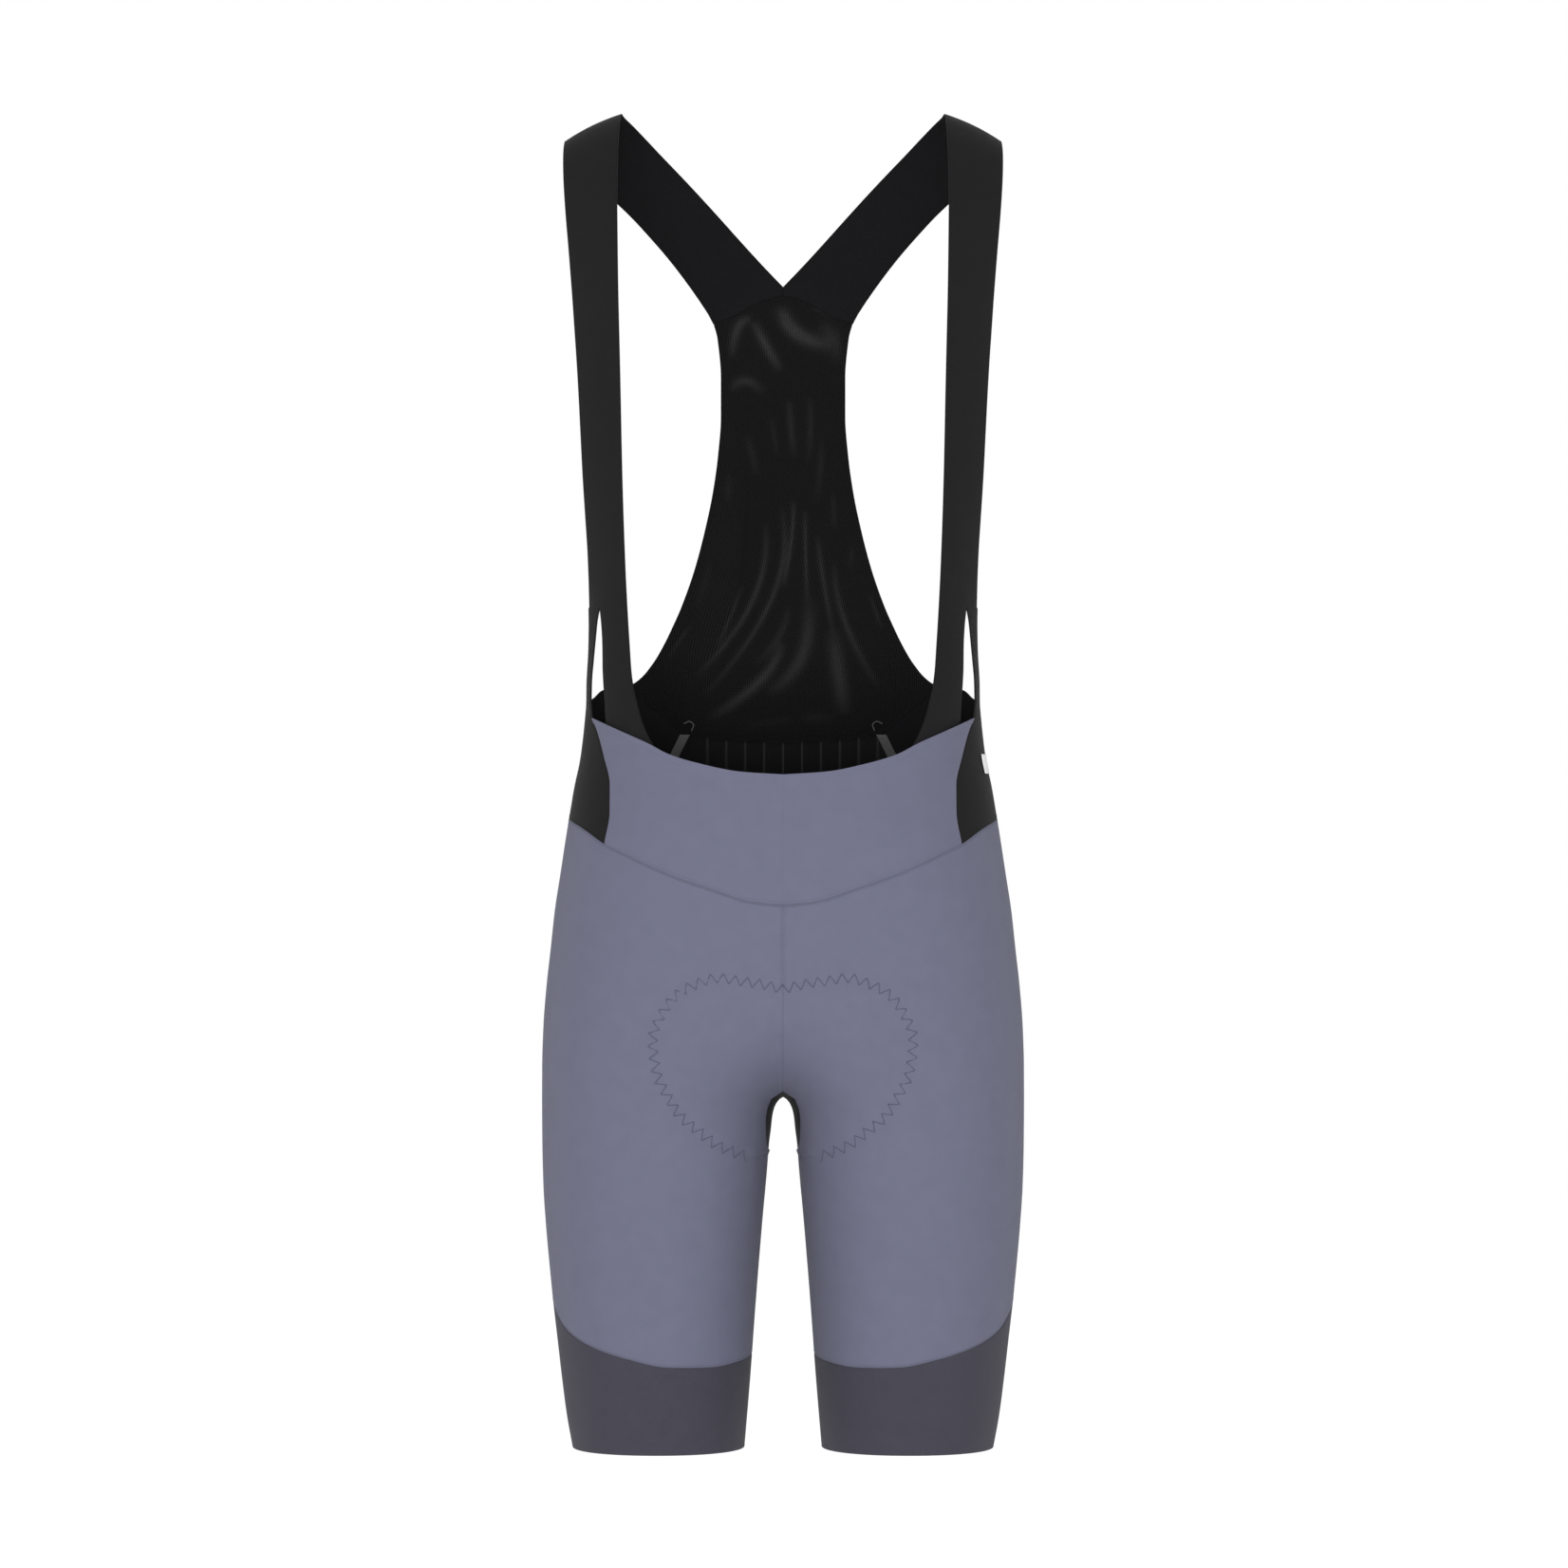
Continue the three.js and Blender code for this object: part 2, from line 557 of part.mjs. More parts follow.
function frontLeg() {
  const sides = {
    top: [
      ...spread(across(YOKE_SEAM, onFront), YOKE_COLUMNS),
      ...spread(seatLine(yokeCorner[0], seatCorner[0]), SIDE_COLUMNS).slice(1),
    ],
    right: thighSide(seatCorner[1], bandTop(outerTurn)),
    bottom: frontTurns.map(bandTop),
    left: legInside(YOKE_SEAM[0].z, 0),
  };
  return clearCentre(panel(sides, YOKE_COLUMNS + SIDE_COLUMNS, LEG_ROWS, [SEAM, SEAM / 2, SEAM, 0]), 0);
}

function backLeg() {
  const sides = {
    top: seatLine(seatCorner[0], seatCentre[0]),
    left: thighSide(seatCorner[1], bandTop(outerTurn)),
    bottom: backTurns.map(bandTop),
    right: legInside(seatCentre[1], 1),
  };
  return clearCentre(panel(sides, SEAT_COLUMNS, LEG_ROWS, [SEAM, 0, SEAM, SEAM / 2]), SEAT_COLUMNS);
}

function legBand() {
  const turns = [...frontTurns, ...backTurns.slice(1)];
  const rows = 4;
  return Array.from({ length: rows + 1 }, (_, j) =>
    turns.map((turn) => {
      const z = ramp(bandTop(turn)[1], HEM)(j / rows);
      const { front, back } = section(z);
      return skin(turn === 1 ? front : ramp(front, back)(turn), z);
    }),
  );
}

function saddleInsert() {
  const columns = 5;
  const stations = [
    ...INSERT_TURNS.slice(1).map((turn, i) => insertEdge(turn, 0, (i ? 1.5 : 2.2) * SEAM)),
    ...INSERT_TURNS.slice(1, -1).map((turn, i) => insertEdge(turn, 1, (i ? 1.2 : 3) * SEAM)).reverse(),
  ];
  const rows = stations.map(({ y, z: low }) => {
    const high = closing(y);
    const climb = draw((t) => {
      const level = ramp(low, high)(1 - (1 - t) ** 2);
      return new THREE.Vector3(t === 1 ? 0 : innerThigh(y, level), y, level);
    });
    const lengths = climb.map(() => 0);
    for (let i = 1; i < climb.length; i += 1) {
      lengths[i] = lengths[i - 1] + climb[i].distanceTo(climb[i - 1]);
    }
    return Array.from({ length: columns + 1 }, (_unused, k) => {
      const target = (end(lengths) * (columns - k)) / columns;
      let i = 0;
      while (i < climb.length - 2 && lengths[i + 1] < target) i += 1;
      const share = (target - lengths[i]) / (lengths[i + 1] - lengths[i] || 1);
      return climb[i].clone().lerp(climb[i + 1], share);
    });
  });
  return wall(whole(rows), CLOTH);
}

// One strap with its side panel, cut as one piece: over the shoulder, parted by the slit.
function strap() {
  const [innerColumns, outerColumns] = [2, 3];
  const top = STRAP[0].z;
  const [branchRows, tongueRows, footColumns, meshColumns] = [7, 9, 3, 4];
  const straight = (from, to, count) =>
    draw((t) => [0, 1].map((k) => ramp(from[k], to[k])(t)), 0, 1, count);
  const byGirth = (rows) =>
    draw((t) => {
      const s = ramp(rows[0].s, end(rows).s)(t);
      return [s, read(rows, 's', 'z', s)];
    });
  const slitEdge = upright(SLIT_EDGE, onFront);
  const armhole = [onFront(STRAP[0].outer, top), ...byGirth(ARMHOLE).slice(1)];
  const foot = [...byGirth(ARMHOLE_FOOT).slice(0, -1), onBack(end(MESH_EDGE).x, end(MESH_EDGE).z)];
  const joint = straight(end(slitEdge), end(armhole), outerColumns);
  const slitRow = [
    ...straight(onFront(STRAP[0].inner, top), slitEdge[0], innerColumns),
    ...straight(slitEdge[0], armhole[0], outerColumns).slice(1),
  ];

  const branch = panel(
    { top: slitRow.slice(innerColumns), right: armhole, bottom: joint, left: slitEdge },
    outerColumns, branchRows,
  );
  const side = panel({
    top: [...joint, ...spread(foot, footColumns).slice(1), ...spread(meshSeam, meshColumns).slice(1)],
    right: tapeLine,
    bottom: seatLine(yokeCorner[0], tapeFoot[0]),
    left: upright(YOKE_SIDE, onFront),
  }, outerColumns + footColumns + meshColumns, SIDE_ROWS);
  side[0] = [...branch[branchRows], ...side[0].slice(outerColumns + 1)];

  const tongue = Array.from({ length: tongueRows + 1 }, (_, j) => {
    const z = ramp(top, end(INNER_BRANCH).z)(j / tongueRows);
    const [inner, outer, inside] = ['inner', 'outer', 'inside'].map((c) => read(INNER_BRANCH, 'z', c, z));
    const [from, to] = [onFront(inner, z)[0], onFront(outer, z)[0]];
    return draw((t) => skin(ramp(from, to)(t), z, -inside), 0, 1, innerColumns);
  });
  const slitPoints = slitRow.map(([s, z]) => skin(s, z));
  tongue[0] = slitPoints.slice(0, innerColumns + 1);
  branch[0] = slitPoints.slice(innerColumns);

  // Edges of the strap above the slit, carried on from the chest over the shoulder.
  const chest = draw(ramp(end(STRAP).z, top + 20), 0, 1, 8).map((z) => {
    const [inner, outer] = [read(STRAP, 'z', 'inner', z), read(STRAP, 'z', 'outer', z)];
    return [skin(...onFront(inner, z)), skin(...onFront(outer, z))];
  });
  const edges = [
    ...[...SHOULDER].reverse().map((row) => [
      new THREE.Vector3(row.ix, row.iy, row.iz), new THREE.Vector3(row.ox, row.oy, row.oz),
    ]),
    ...chest,
  ];
  const routes = [0, 1].map((k) => {
    const edge = edges.map((pair) => pair[k]);
    return new THREE.CatmullRomCurve3(edge, false, 'centripetal');
  });
  const width = end(slitPoints).distanceTo(slitPoints[0]);
  const shares = slitPoints.map((point) => point.distanceTo(slitPoints[0]) / width);
  const ribbonRows = 34;
  const ribbon = Array.from({ length: ribbonRows + 1 }, (_, j) => {
    const [a, b] = routes.map((route) => route.getPoint(j / ribbonRows));
    const along = routes[0].getTangent(j / ribbonRows).add(routes[1].getTangent(j / ribbonRows));
    const normal = b.clone().sub(a).cross(along).normalize();
    const bow = (share) => STRAP_BOW * 4 * share * (1 - share);
    return shares.map((share) => a.clone().lerp(b, share).addScaledVector(normal, bow(share)));
  });

  // The end at the back follows the centre seam and then the arc of the mesh.
  const endRow = [[0, NOTCH], ...ARC_ENDS].map(([x, z]) => skin(...onBack(Math.max(x, SEAM / 2), z)));
  const rows = [endRow, ...ribbon, slitPoints];
  return [...grid(rows), ...grid(tongue), ...grid(branch), ...grid(side)];
}

// Corners of the arc where a strap meets the mesh, and points between them on its straight sides.
const ARC_COLUMNS = 4;
const ARC_ENDS = draw((t) => {
  const x = end(MESH_ARC).x * t;
  return [x, read(MESH_ARC, 'x', 'z', x)];
}, 0, 1, ARC_COLUMNS);
const arcNodes = ARC_ENDS.slice(1).flatMap(([x, z], i) =>
  [0, 1, 2].map((k) => [ramp(ARC_ENDS[i][0], x)(k / 3), ramp(ARC_ENDS[i][1], z)(k / 3)]),
);

function meshRelief(point) {
  let lift = 0;
  for (const fold of MESH_FOLDS) {
    const [dx, dz] = [fold.x1 - fold.x0, fold.z1 - fold.z0];
    const along = ((point.x - fold.x0) * dx + (point.z - fold.z0) * dz) / (dx * dx + dz * dz);
    const held = Math.min(Math.max(along, 0), 1);
    const away = Math.hypot(point.x - fold.x0 - held * dx, point.z - fold.z0 - held * dz);
    lift += fold.height * Math.exp(-((away / fold.width) ** 2));
  }
  return lift;
}

function backMesh() {
  const [waistColumns, sideColumns, rows] = [8, 4, 24];
  const columns = waistColumns + sideColumns;
  const sides = {
    top: [...arcNodes, end(ARC_ENDS)].map(([x, z]) => onBack(x, z)),
    right: upright(MESH_EDGE, onBack),
    bottom: [...spread(waistSeam, waistColumns), ...spread(meshSeam, sideColumns).reverse().slice(1)],
    left: draw((t) => centreBack(ramp(MESH_ARC[0].z, MESH_FOOT[0].z)(t))),
  };
  const half = (way) => panel(sides, columns, rows, [1.9 * SEAM, 0, 1.4 * SEAM, 0], (point, i) => {
    const seen = new THREE.Vector3(point.x * way, point.y, point.z);
    return meshRelief(seen) * (i === columns ? MESH_FADE.edge : 1) * edgeFade(point.z);
  });
  return wall(whole(half(1), half(-1)), CLOTH);
}

// Folds die out towards the seams above and below the mesh.
function edgeFade(z) {
  const fromTop = Math.max(MESH_FADE.top - z, 0) / MESH_FADE.over;
  const fromFoot = Math.max(z - MESH_FADE.foot, 0) / MESH_FADE.above;
  return Math.min(fromTop, fromFoot, 1);
}

function backWaist() {
  const sides = {
    top: waistSeam,
    right: tapeLine,
    bottom: seatLine(seatCentre[0], tapeFoot[0]),
    left: draw((t) => centreBack(ramp(MESH_FOOT[0].z, seatCentre[1])(t))),
  };
  const [columns, rows] = [24, 3];
  const half = panel(sides, columns, rows, [0, SEAM, 0.5 * SEAM, 0], (point) => {
    const wave = Math.cos((Math.PI * 2 * point.x) / LUMBAR_RIB.pitch);
    return LUMBAR_RIB.height * Math.max(wave, 0);
  });
  return wall(whole(half), CLOTH);
}

// Tape bonded over the seam inside the back, on the wearer's side of the cloth.
function seamTape() {
  const line = spread(tapeLine, 6);
  const lift = -(CLOTH / 2 + TAPE.under + TRIM / 2 + LUMBAR_RIB.height / 2);
  return line.slice(0, -1).map(([s, z]) =>
    [-1, 0, 1].map((side) => skin(s + (side * TAPE.width) / 2, z - TAPE.drop, lift)),
  );
}

function sidePatch() {
  const lift = CLOTH / 2 + PATCH_LIFT + TRIM / 2;
  return [0, 1, 2].map((j) => {
    const z = ramp(PATCH.top, PATCH.bottom)(j / 2);
    return [0, 1, 2, 3].map((i) => skin(ramp(PATCH.front, PATCH.back)(i / 3), z, lift));
  });
}

const cloth = (color, roughness) => new THREE.MeshStandardMaterial({ color, roughness, metalness: 0 });
const shorts = new THREE.Group();

function add(name, geometry, material) {
  const mesh = new THREE.Mesh(geometry, material);
  mesh.name = name;
  shorts.add(mesh);
}

// Adds a piece on the viewer's right and its mirror image on the left.
function addPair(name, quads, thickness, color, roughness) {
  add(`${name}_right`, wall(quads, thickness), cloth(color, roughness));
  add(`${name}_left`, wall(mirror(quads), thickness), cloth(color, roughness));
}

const SLATE = 0x72758a;
const BAND = 0x4d4c58;
const BLACK = 0x262628;

add('front_yoke', frontYoke(), cloth(SLATE, 0.7));
addPair('front_leg', grid(frontLeg()), CLOTH, SLATE, 0.7);
addPair('back_leg', grid(backLeg()), CLOTH, SLATE, 0.7);
addPair('leg_band', grid(legBand()), CLOTH, BAND, 0.75);
add('saddle_insert', saddleInsert(), cloth(BLACK, 0.8));
addPair('strap', strap(), CLOTH, BLACK, 0.6);
add('back_mesh', backMesh(), cloth(0x1a1a1a, 0.75));
add('back_waist', backWaist(), cloth(0x1b1b1e, 0.75));
addPair('seam_tape', grid(seamTape()), TRIM, 0x3a3a3c, 0.6);
add('side_patch', wall(grid(sidePatch()), TRIM), cloth(0xc8c8c8, 0.5));

export default shorts;
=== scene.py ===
import bpy
import numpy as np
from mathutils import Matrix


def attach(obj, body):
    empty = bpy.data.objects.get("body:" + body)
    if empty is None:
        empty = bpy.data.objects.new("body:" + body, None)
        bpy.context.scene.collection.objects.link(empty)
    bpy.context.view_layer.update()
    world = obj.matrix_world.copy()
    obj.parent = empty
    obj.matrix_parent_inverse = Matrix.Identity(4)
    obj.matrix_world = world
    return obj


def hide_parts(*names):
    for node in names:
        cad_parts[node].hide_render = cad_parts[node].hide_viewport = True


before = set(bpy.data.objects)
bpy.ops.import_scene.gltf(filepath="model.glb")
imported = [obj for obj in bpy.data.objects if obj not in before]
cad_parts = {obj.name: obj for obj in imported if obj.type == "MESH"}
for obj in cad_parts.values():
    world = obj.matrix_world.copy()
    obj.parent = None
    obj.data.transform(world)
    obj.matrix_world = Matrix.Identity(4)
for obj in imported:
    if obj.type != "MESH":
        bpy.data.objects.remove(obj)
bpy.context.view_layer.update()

# Front waistband: one piece of firm, smooth knit across the belly, with a dipped top edge. The edge
# is folded 7 mm and bonded, and the piece is sewn to the legs below and the side panels beside it.
# Sizes are in millimetres until a mesh is made, +X is the viewer's right and the front faces -Y.
STEPS = 72  # samples on each quarter of a section
ROUNDNESS = 2.2  # exponent of the body's section, where 2 is an ellipse
CROTCH = -674.0
RISE = {"front": 75.0, "back": 110.0}  # height in which the section closes above the crotch
SHELL = 0.9  # thickness of the cloth as it looks
HEM_FOLD = 7.0


def table(columns, *rows):
    """Rows of numbers as one array for each named column."""
    return dict(zip(columns.split(), np.array(rows, float).T))


BODY = table(
    "z side front back thigh crease",
    (-95, 157, 96, 95, 0, 0), (-180, 157, 112, 104, 0, 0), (-250, 150, 113, 103, 0, 0),
    (-310, 141, 106, 95, 0, 0), (-350, 137.3, 102, 87, 0, 0), (-375, 136.2, 99, 82, 0, 0),
    (-400, 136.4, 97, 80, 2, 0), (-413, 137.4, 97, 80, 4, 0), (-440, 140.6, 99, 83, 10, 2),
    (-459, 144.6, 100, 89, 17, 5), (-479, 148, 102, 97, 26, 9), (-499, 151.2, 103, 105, 36, 14),
    (-519, 154.2, 103, 112, 46, 18), (-545, 158.2, 102, 119, 57, 22), (-571, 161, 101, 123, 66, 22),
    (-598, 164, 100, 124, 74, 19), (-624, 166, 98, 121, 80, 14), (-651, 166.9, 96, 113, 84, 10),
    (-676, 167, 94, 105, 86, 6), (-707, 166.8, 91, 97, 87, 1), (-737, 166, 89, 91, 88, 0),
    (-763, 164.3, 88, 87, 88, 0), (-789, 162, 85, 83, 88, 0), (-816, 159.3, 82, 79, 88, 0),
    (-842, 156.3, 79, 75, 88, 0), (-869, 153.2, 75, 70, 87.5, 0), (-895, 149.8, 71, 66, 87, 0),
    (-917, 145.8, 68, 62, 86.5, 0),
)
GAP = table(
    "z half", (-674, 0.4), (-676, 3), (-680, 5.8), (-687, 7.8), (-697, 8.9), (-707, 10.2),
    (-723, 11.4), (-763, 15), (-816, 19.3), (-869, 23.2), (-917, 27.2),
)
YOKE_TOP = table(
    "x z", (0, -450.5), (29, -448.6), (58, -442.8), (78, -436.6), (92, -429.3), (111.8, -420.4),
    (131.5, -411.5),
)
YOKE_SIDE = table(
    "z x", (-411.5, 131.5), (-421.8, 127.3), (-438, 122.8), (-457.7, 118.4), (-476, 118.4), (-498, 122.1),
)
YOKE_SEAM = table("x z", (0, -539), (20, -537), (50, -527.8), (80, -517.2), (122.1, -498))


def read(rows, key, name, value):
    """A column at values of its key: cubic pieces whose slope at a row is the harmonic mean of its
    two neighbours' slopes, m = 2ab / (a + b), so that the curve never overshoots."""
    k, y = rows[key], rows[name]
    if k[0] > k[-1]:
        k, y = k[::-1], y[::-1]
    value = np.clip(value, k[0], k[-1])
    span = np.diff(k)
    rise = np.diff(y) / span
    slope = np.concatenate([rise[:1], np.zeros(len(k) - 2), rise[-1:]])
    a, b = rise[:-1], rise[1:]
    slope[1:-1] = np.where(a * b > 0, 2 * a * b / np.where(a + b == 0, 1, a + b), 0)
    i = np.clip(np.searchsorted(k, value) - 1, 0, len(k) - 2)
    t = (value - k[i]) / span[i]
    flat = t * t * (3 - 2 * t)
    lead = t * (1 - t) ** 2 * span[i] * slope[i]
    trail = t * t * (t - 1) * span[i] * slope[i + 1]
    return y[i] * (1 - flat) + y[i + 1] * flat + lead + trail


def inward(z, way):
    """How far in from the thigh's middle a section reaches, and the angle at which it starts: to the
    gap between the legs below the crotch, and above it less and less, as the thighs grow together."""
    thigh, crease = read(BODY, "z", "thigh", z), read(BODY, "z", "crease", z)
    below = thigh - np.hypot(read(GAP, "z", "half", z), crease)
    climb = np.clip((z - CROTCH) / RISE[way], 0, 1)
    closed = np.minimum(np.sqrt(1 - (1 - climb) ** 2), 0.9995)
    half = np.maximum(thigh - crease, 0.01)
    above = half / (1 - closed**ROUNDNESS) ** (1 / ROUNDNESS)
    reach = np.where(z <= CROTCH, below, above)
    start = np.where(z <= CROTCH, 0, np.arccos(np.clip((half / above) ** (ROUNDNESS / 2), 0, 1)))
    return reach, start


def section(z):
    """Half of the body's outline at each height: x = sqrt((thigh + reach cos^p a)^2 - crease^2) and
    y = depth sin^p a, with p = 2 / ROUNDNESS, in four quarters from the centre front round the side
    to the centre back. s is the girth along it from the side, less than 0 in front."""
    z = np.atleast_1d(np.asarray(z, float))
    side, front, back, thigh, crease = (read(BODY, "z", c, z)[:, None] for c in BODY if c != "z")
    outward = np.hypot(side, crease) - thigh
    t = np.linspace(0, 1, STEPS + 1)[None, :]
    xs, ys = [], []
    right = np.full_like(z, np.pi / 2)[:, None]
    quarters = (("front", 1), ("out", 1), ("out", -1), ("back", -1))
    for number, (way, forward) in enumerate(quarters):
        if way == "out":
            reach, start = outward, np.zeros_like(right)
            sweep = (right, start) if number == 1 else (start, right)
        else:
            reach, start = (part[:, None] for part in inward(z, way))
            reach = -reach
            sweep = (start, right) if number == 0 else (right, start)
        angle = sweep[0] + (sweep[1] - sweep[0]) * t
        x = thigh + reach * np.abs(np.cos(angle)) ** (2 / ROUNDNESS)
        y = (-front if forward == 1 else back) * np.abs(np.sin(angle)) ** (2 / ROUNDNESS)
        keep = slice(0 if number == 0 else 1, None)
        xs.append(np.sqrt(np.maximum(x * x - crease * crease, 0))[:, keep])
        ys.append(y[:, keep])
    x, y = np.hstack(xs), np.hstack(ys)
    x[z > CROTCH, 0] = 0
    x[z > CROTCH, -1] = 0
    s = np.concatenate([np.zeros((len(z), 1)), np.cumsum(np.hypot(np.diff(x), np.diff(y)), 1)], 1)
    return {"x": x, "y": y, "s": s - s[:, 2 * STEPS][:, None]}


def skin(s, z):
    """Points of the body at girths s and heights z, of any one shape."""
    shape = np.shape(s)
    s, z = np.ravel(s), np.ravel(z)
    run = section(z)
    k = np.arange(len(z))
    i = np.clip((run["s"] <= s[:, None]).sum(1) - 1, 0, 4 * STEPS - 1)
    a, b = run["s"][k, i], run["s"][k, i + 1]
    t = (s - a) / np.where(b - a == 0, 1, b - a)
    x = run["x"][k, i] * (1 - t) + run["x"][k, i + 1] * t
    y = run["y"][k, i] * (1 - t) + run["y"][k, i + 1] * t
    return np.stack([x, y, z], -1).reshape(*shape, 3)


def crossing(z, first, last, axis, value):
    """Girth at which the quarters from first to last pass a value of x or y, at each height."""
    z, value = np.broadcast_arrays(np.asarray(z, float), np.asarray(value, float))
    run = section(z)
    part = slice(first * STEPS, last * STEPS + 1)
    off, girth = run[axis][:, part] - value[:, None], run["s"][:, part]
    hit = (off[:, :-1] * off[:, 1:] <= 0) & (off[:, :-1] != off[:, 1:])
    nearer = np.where(np.abs(off[:, 0]) < np.abs(off[:, -1]), 0, off.shape[1] - 2)
    i = np.where(hit.any(1), hit.argmax(1), nearer)
    k = np.arange(len(z))
    a, b = off[k, i], off[k, i + 1]
    t = np.clip(a / np.where(a == b, 1, a - b), 0, 1)
    return girth[k, i] * (1 - t) + girth[k, i + 1] * t


def on_front(x, z):
    z = np.broadcast_to(z, np.shape(x)) if np.ndim(z) == 0 else z
    return np.stack([crossing(z, 0, 2, "x", x), z], -1)


def on_back(x, z):
    z = np.broadcast_to(z, np.shape(x)) if np.ndim(z) == 0 else z
    return np.stack([crossing(z, 2, 4, "x", x), z], -1)


def centre(z, way):
    return np.stack([section(z)["s"][:, 0 if way == "front" else -1], z], -1)


def ease(count, pull=0.85):
    """Shares from 0 to 1 that crowd at both ends, t - pull sin(2 pi t) / (2 pi)."""
    t = np.linspace(0, 1, count + 1)
    return t - pull * np.sin(2 * np.pi * t) / (2 * np.pi)


def along(points):
    """Length of a line up to each of its points."""
    return np.concatenate([[0], np.cumsum(np.linalg.norm(np.diff(points, axis=0), axis=1))])


def spread(line, shares):
    """Points of a line at shares of its length on the body."""
    length = along(skin(line[:, 0], line[:, 1]))
    at = np.asarray(shares) * length[-1]
    return np.stack([np.interp(at, length, line[:, k]) for k in (0, 1)], -1)


def panel(top, right, bottom, left, u, v):
    """Patch between four seam lines of the chart (girth, height), as rows of points on the body:
    P = (1-v) T(u) + v B(u) + (1-u) L(v) + u R(v) - the same mix of the corners. Also the chart."""
    u, v = u[None, :, None], v[:, None, None]
    corners = [(a[0] + b[0]) / 2 for a, b in ((top, left), (top[::-1], right))]
    corners += [(a[0] + b[0]) / 2 for a, b in ((bottom, left[::-1]), (bottom[::-1], right[::-1]))]
    mix = (1 - v) * top[None] + v * bottom[None] + (1 - u) * left[:, None] + u * right[:, None]
    mix = mix - (1 - v) * ((1 - u) * corners[0] + u * corners[1])
    mix = mix - v * ((1 - u) * corners[2] + u * corners[3])
    points = skin(mix[..., 0], mix[..., 1])
    if top[-1, 0] < top[0, 0]:
        return points[:, ::-1], mix[:, ::-1]
    return points, mix


def edge_distance(points, side):
    """Length along the cloth from one side of a grid of points, in the order top right bottom left."""
    axis = 0 if side in ("top", "bottom") else 1
    step = np.linalg.norm(np.diff(points, axis=axis), axis=2)
    zero = np.zeros_like(step[:1] if axis == 0 else step[:, :1])
    length = np.cumsum(np.concatenate([zero, step], axis), axis)
    if side in ("bottom", "right"):
        length = (length[-1:] if axis == 0 else length[:, -1:]) - length
    return length


def outward(points):
    """Unit normals of a grid whose rows go down and whose columns go on round the body."""
    normal = np.cross(np.gradient(points, axis=0), np.gradient(points, axis=1))
    return normal / np.maximum(np.linalg.norm(normal, axis=2, keepdims=True), 1e-9)


def roll(points, sides, flat=(), depth=0.5, width=0.8):
    """Turns a panel's sewn sides in, by depth exp(-(d / width)^2), so that a seam reads as a groove.
    The flat sides are sewn flat, at a third of the depth."""
    sink = np.zeros(points.shape[:2])
    for side in sides:
        deep = depth / 3 if side in flat else depth
        sink = np.maximum(sink, deep * np.exp(-((edge_distance(points, side) / width) ** 2)))
    return sink


def raised(points, lift):
    return points + outward(points) * lift[..., None]


def both_halves(points, chart):
    """A panel on the centre line: its right half, whose first or last column lies there, and the left."""
    flip = points * (-1, 1, 1)
    back = chart * (-1, 1)
    if np.abs(points[:, 0, 0]).mean() < np.abs(points[:, -1, 0]).mean():
        return np.concatenate([flip[:, :0:-1], points], 1), np.concatenate([back[:, :0:-1], chart], 1)
    shift = 2 * chart[:, -1:] * (1, 0)
    back = back + shift
    return np.concatenate([points, flip[:, -2::-1]], 1), np.concatenate([chart, back[:, -2::-1]], 1)


def other_side(points, chart):
    """The mirror image of a grid, with its columns turned so that it still faces outwards."""
    return (points * (-1, 1, 1))[:, ::-1], chart[:, ::-1]


def sew(name, grids, material, thickness=SHELL, inside=None, highlight_and_lines=None):
    """One piece of cloth from grids of (points, chart), joined where their points meet, with its
    thickness half to each side. The chart is its UV map, in metres of cloth. inside is the material
    of the wearer's side, and highlight_and_lines one number from 0 to 1 for each point, which the
    material reads: painted highlight on the net's folds, and lines on the waist's ribs."""
    corners, uvs, base = [], [], 0
    for points, chart in grids:
        rows, columns = points.shape[:2]
        index = np.arange(rows * columns).reshape(rows, columns) + base
        quad = np.stack([index[:-1, :-1], index[1:, :-1], index[1:, 1:], index[:-1, 1:]], -1)
        corners.append(quad.reshape(-1, 4))
        uvs.append(chart.reshape(-1, 2))
        base += rows * columns
    places = np.concatenate([points.reshape(-1, 3) for points, _ in grids]) / 1000
    corners, uvs = np.concatenate(corners), np.concatenate(uvs) / 1000
    _, first, same = np.unique(np.round(places, 5), axis=0, return_index=True, return_inverse=True)
    welded = np.ravel(same)[corners]
    good = (welded != np.roll(welded, 1, axis=1)).all(1)
    welded, corners = welded[good], corners[good]
    mesh = bpy.data.meshes.new(name)
    mesh.from_pydata(places[first], [], welded)
    mesh.uv_layers.new(name="cloth").data.foreach_set("uv", uvs[corners].ravel())
    mesh.polygons.foreach_set("use_smooth", np.ones(len(welded), bool))
    mesh.materials.append(material)
    if highlight_and_lines is not None:
        mesh.attributes.new("highlight_and_lines", "FLOAT", "POINT").data.foreach_set("value", np.ravel(highlight_and_lines)[first])
    obj = bpy.data.objects.new(name, mesh)
    bpy.context.scene.collection.objects.link(obj)
    shell = obj.modifiers.new("thickness", "SOLIDIFY")
    shell.thickness = thickness / 1000
    shell.offset = 0
    if inside is not None:
        mesh.materials.append(inside)
        shell.material_offset = 1
    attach(obj, "root")
    return obj


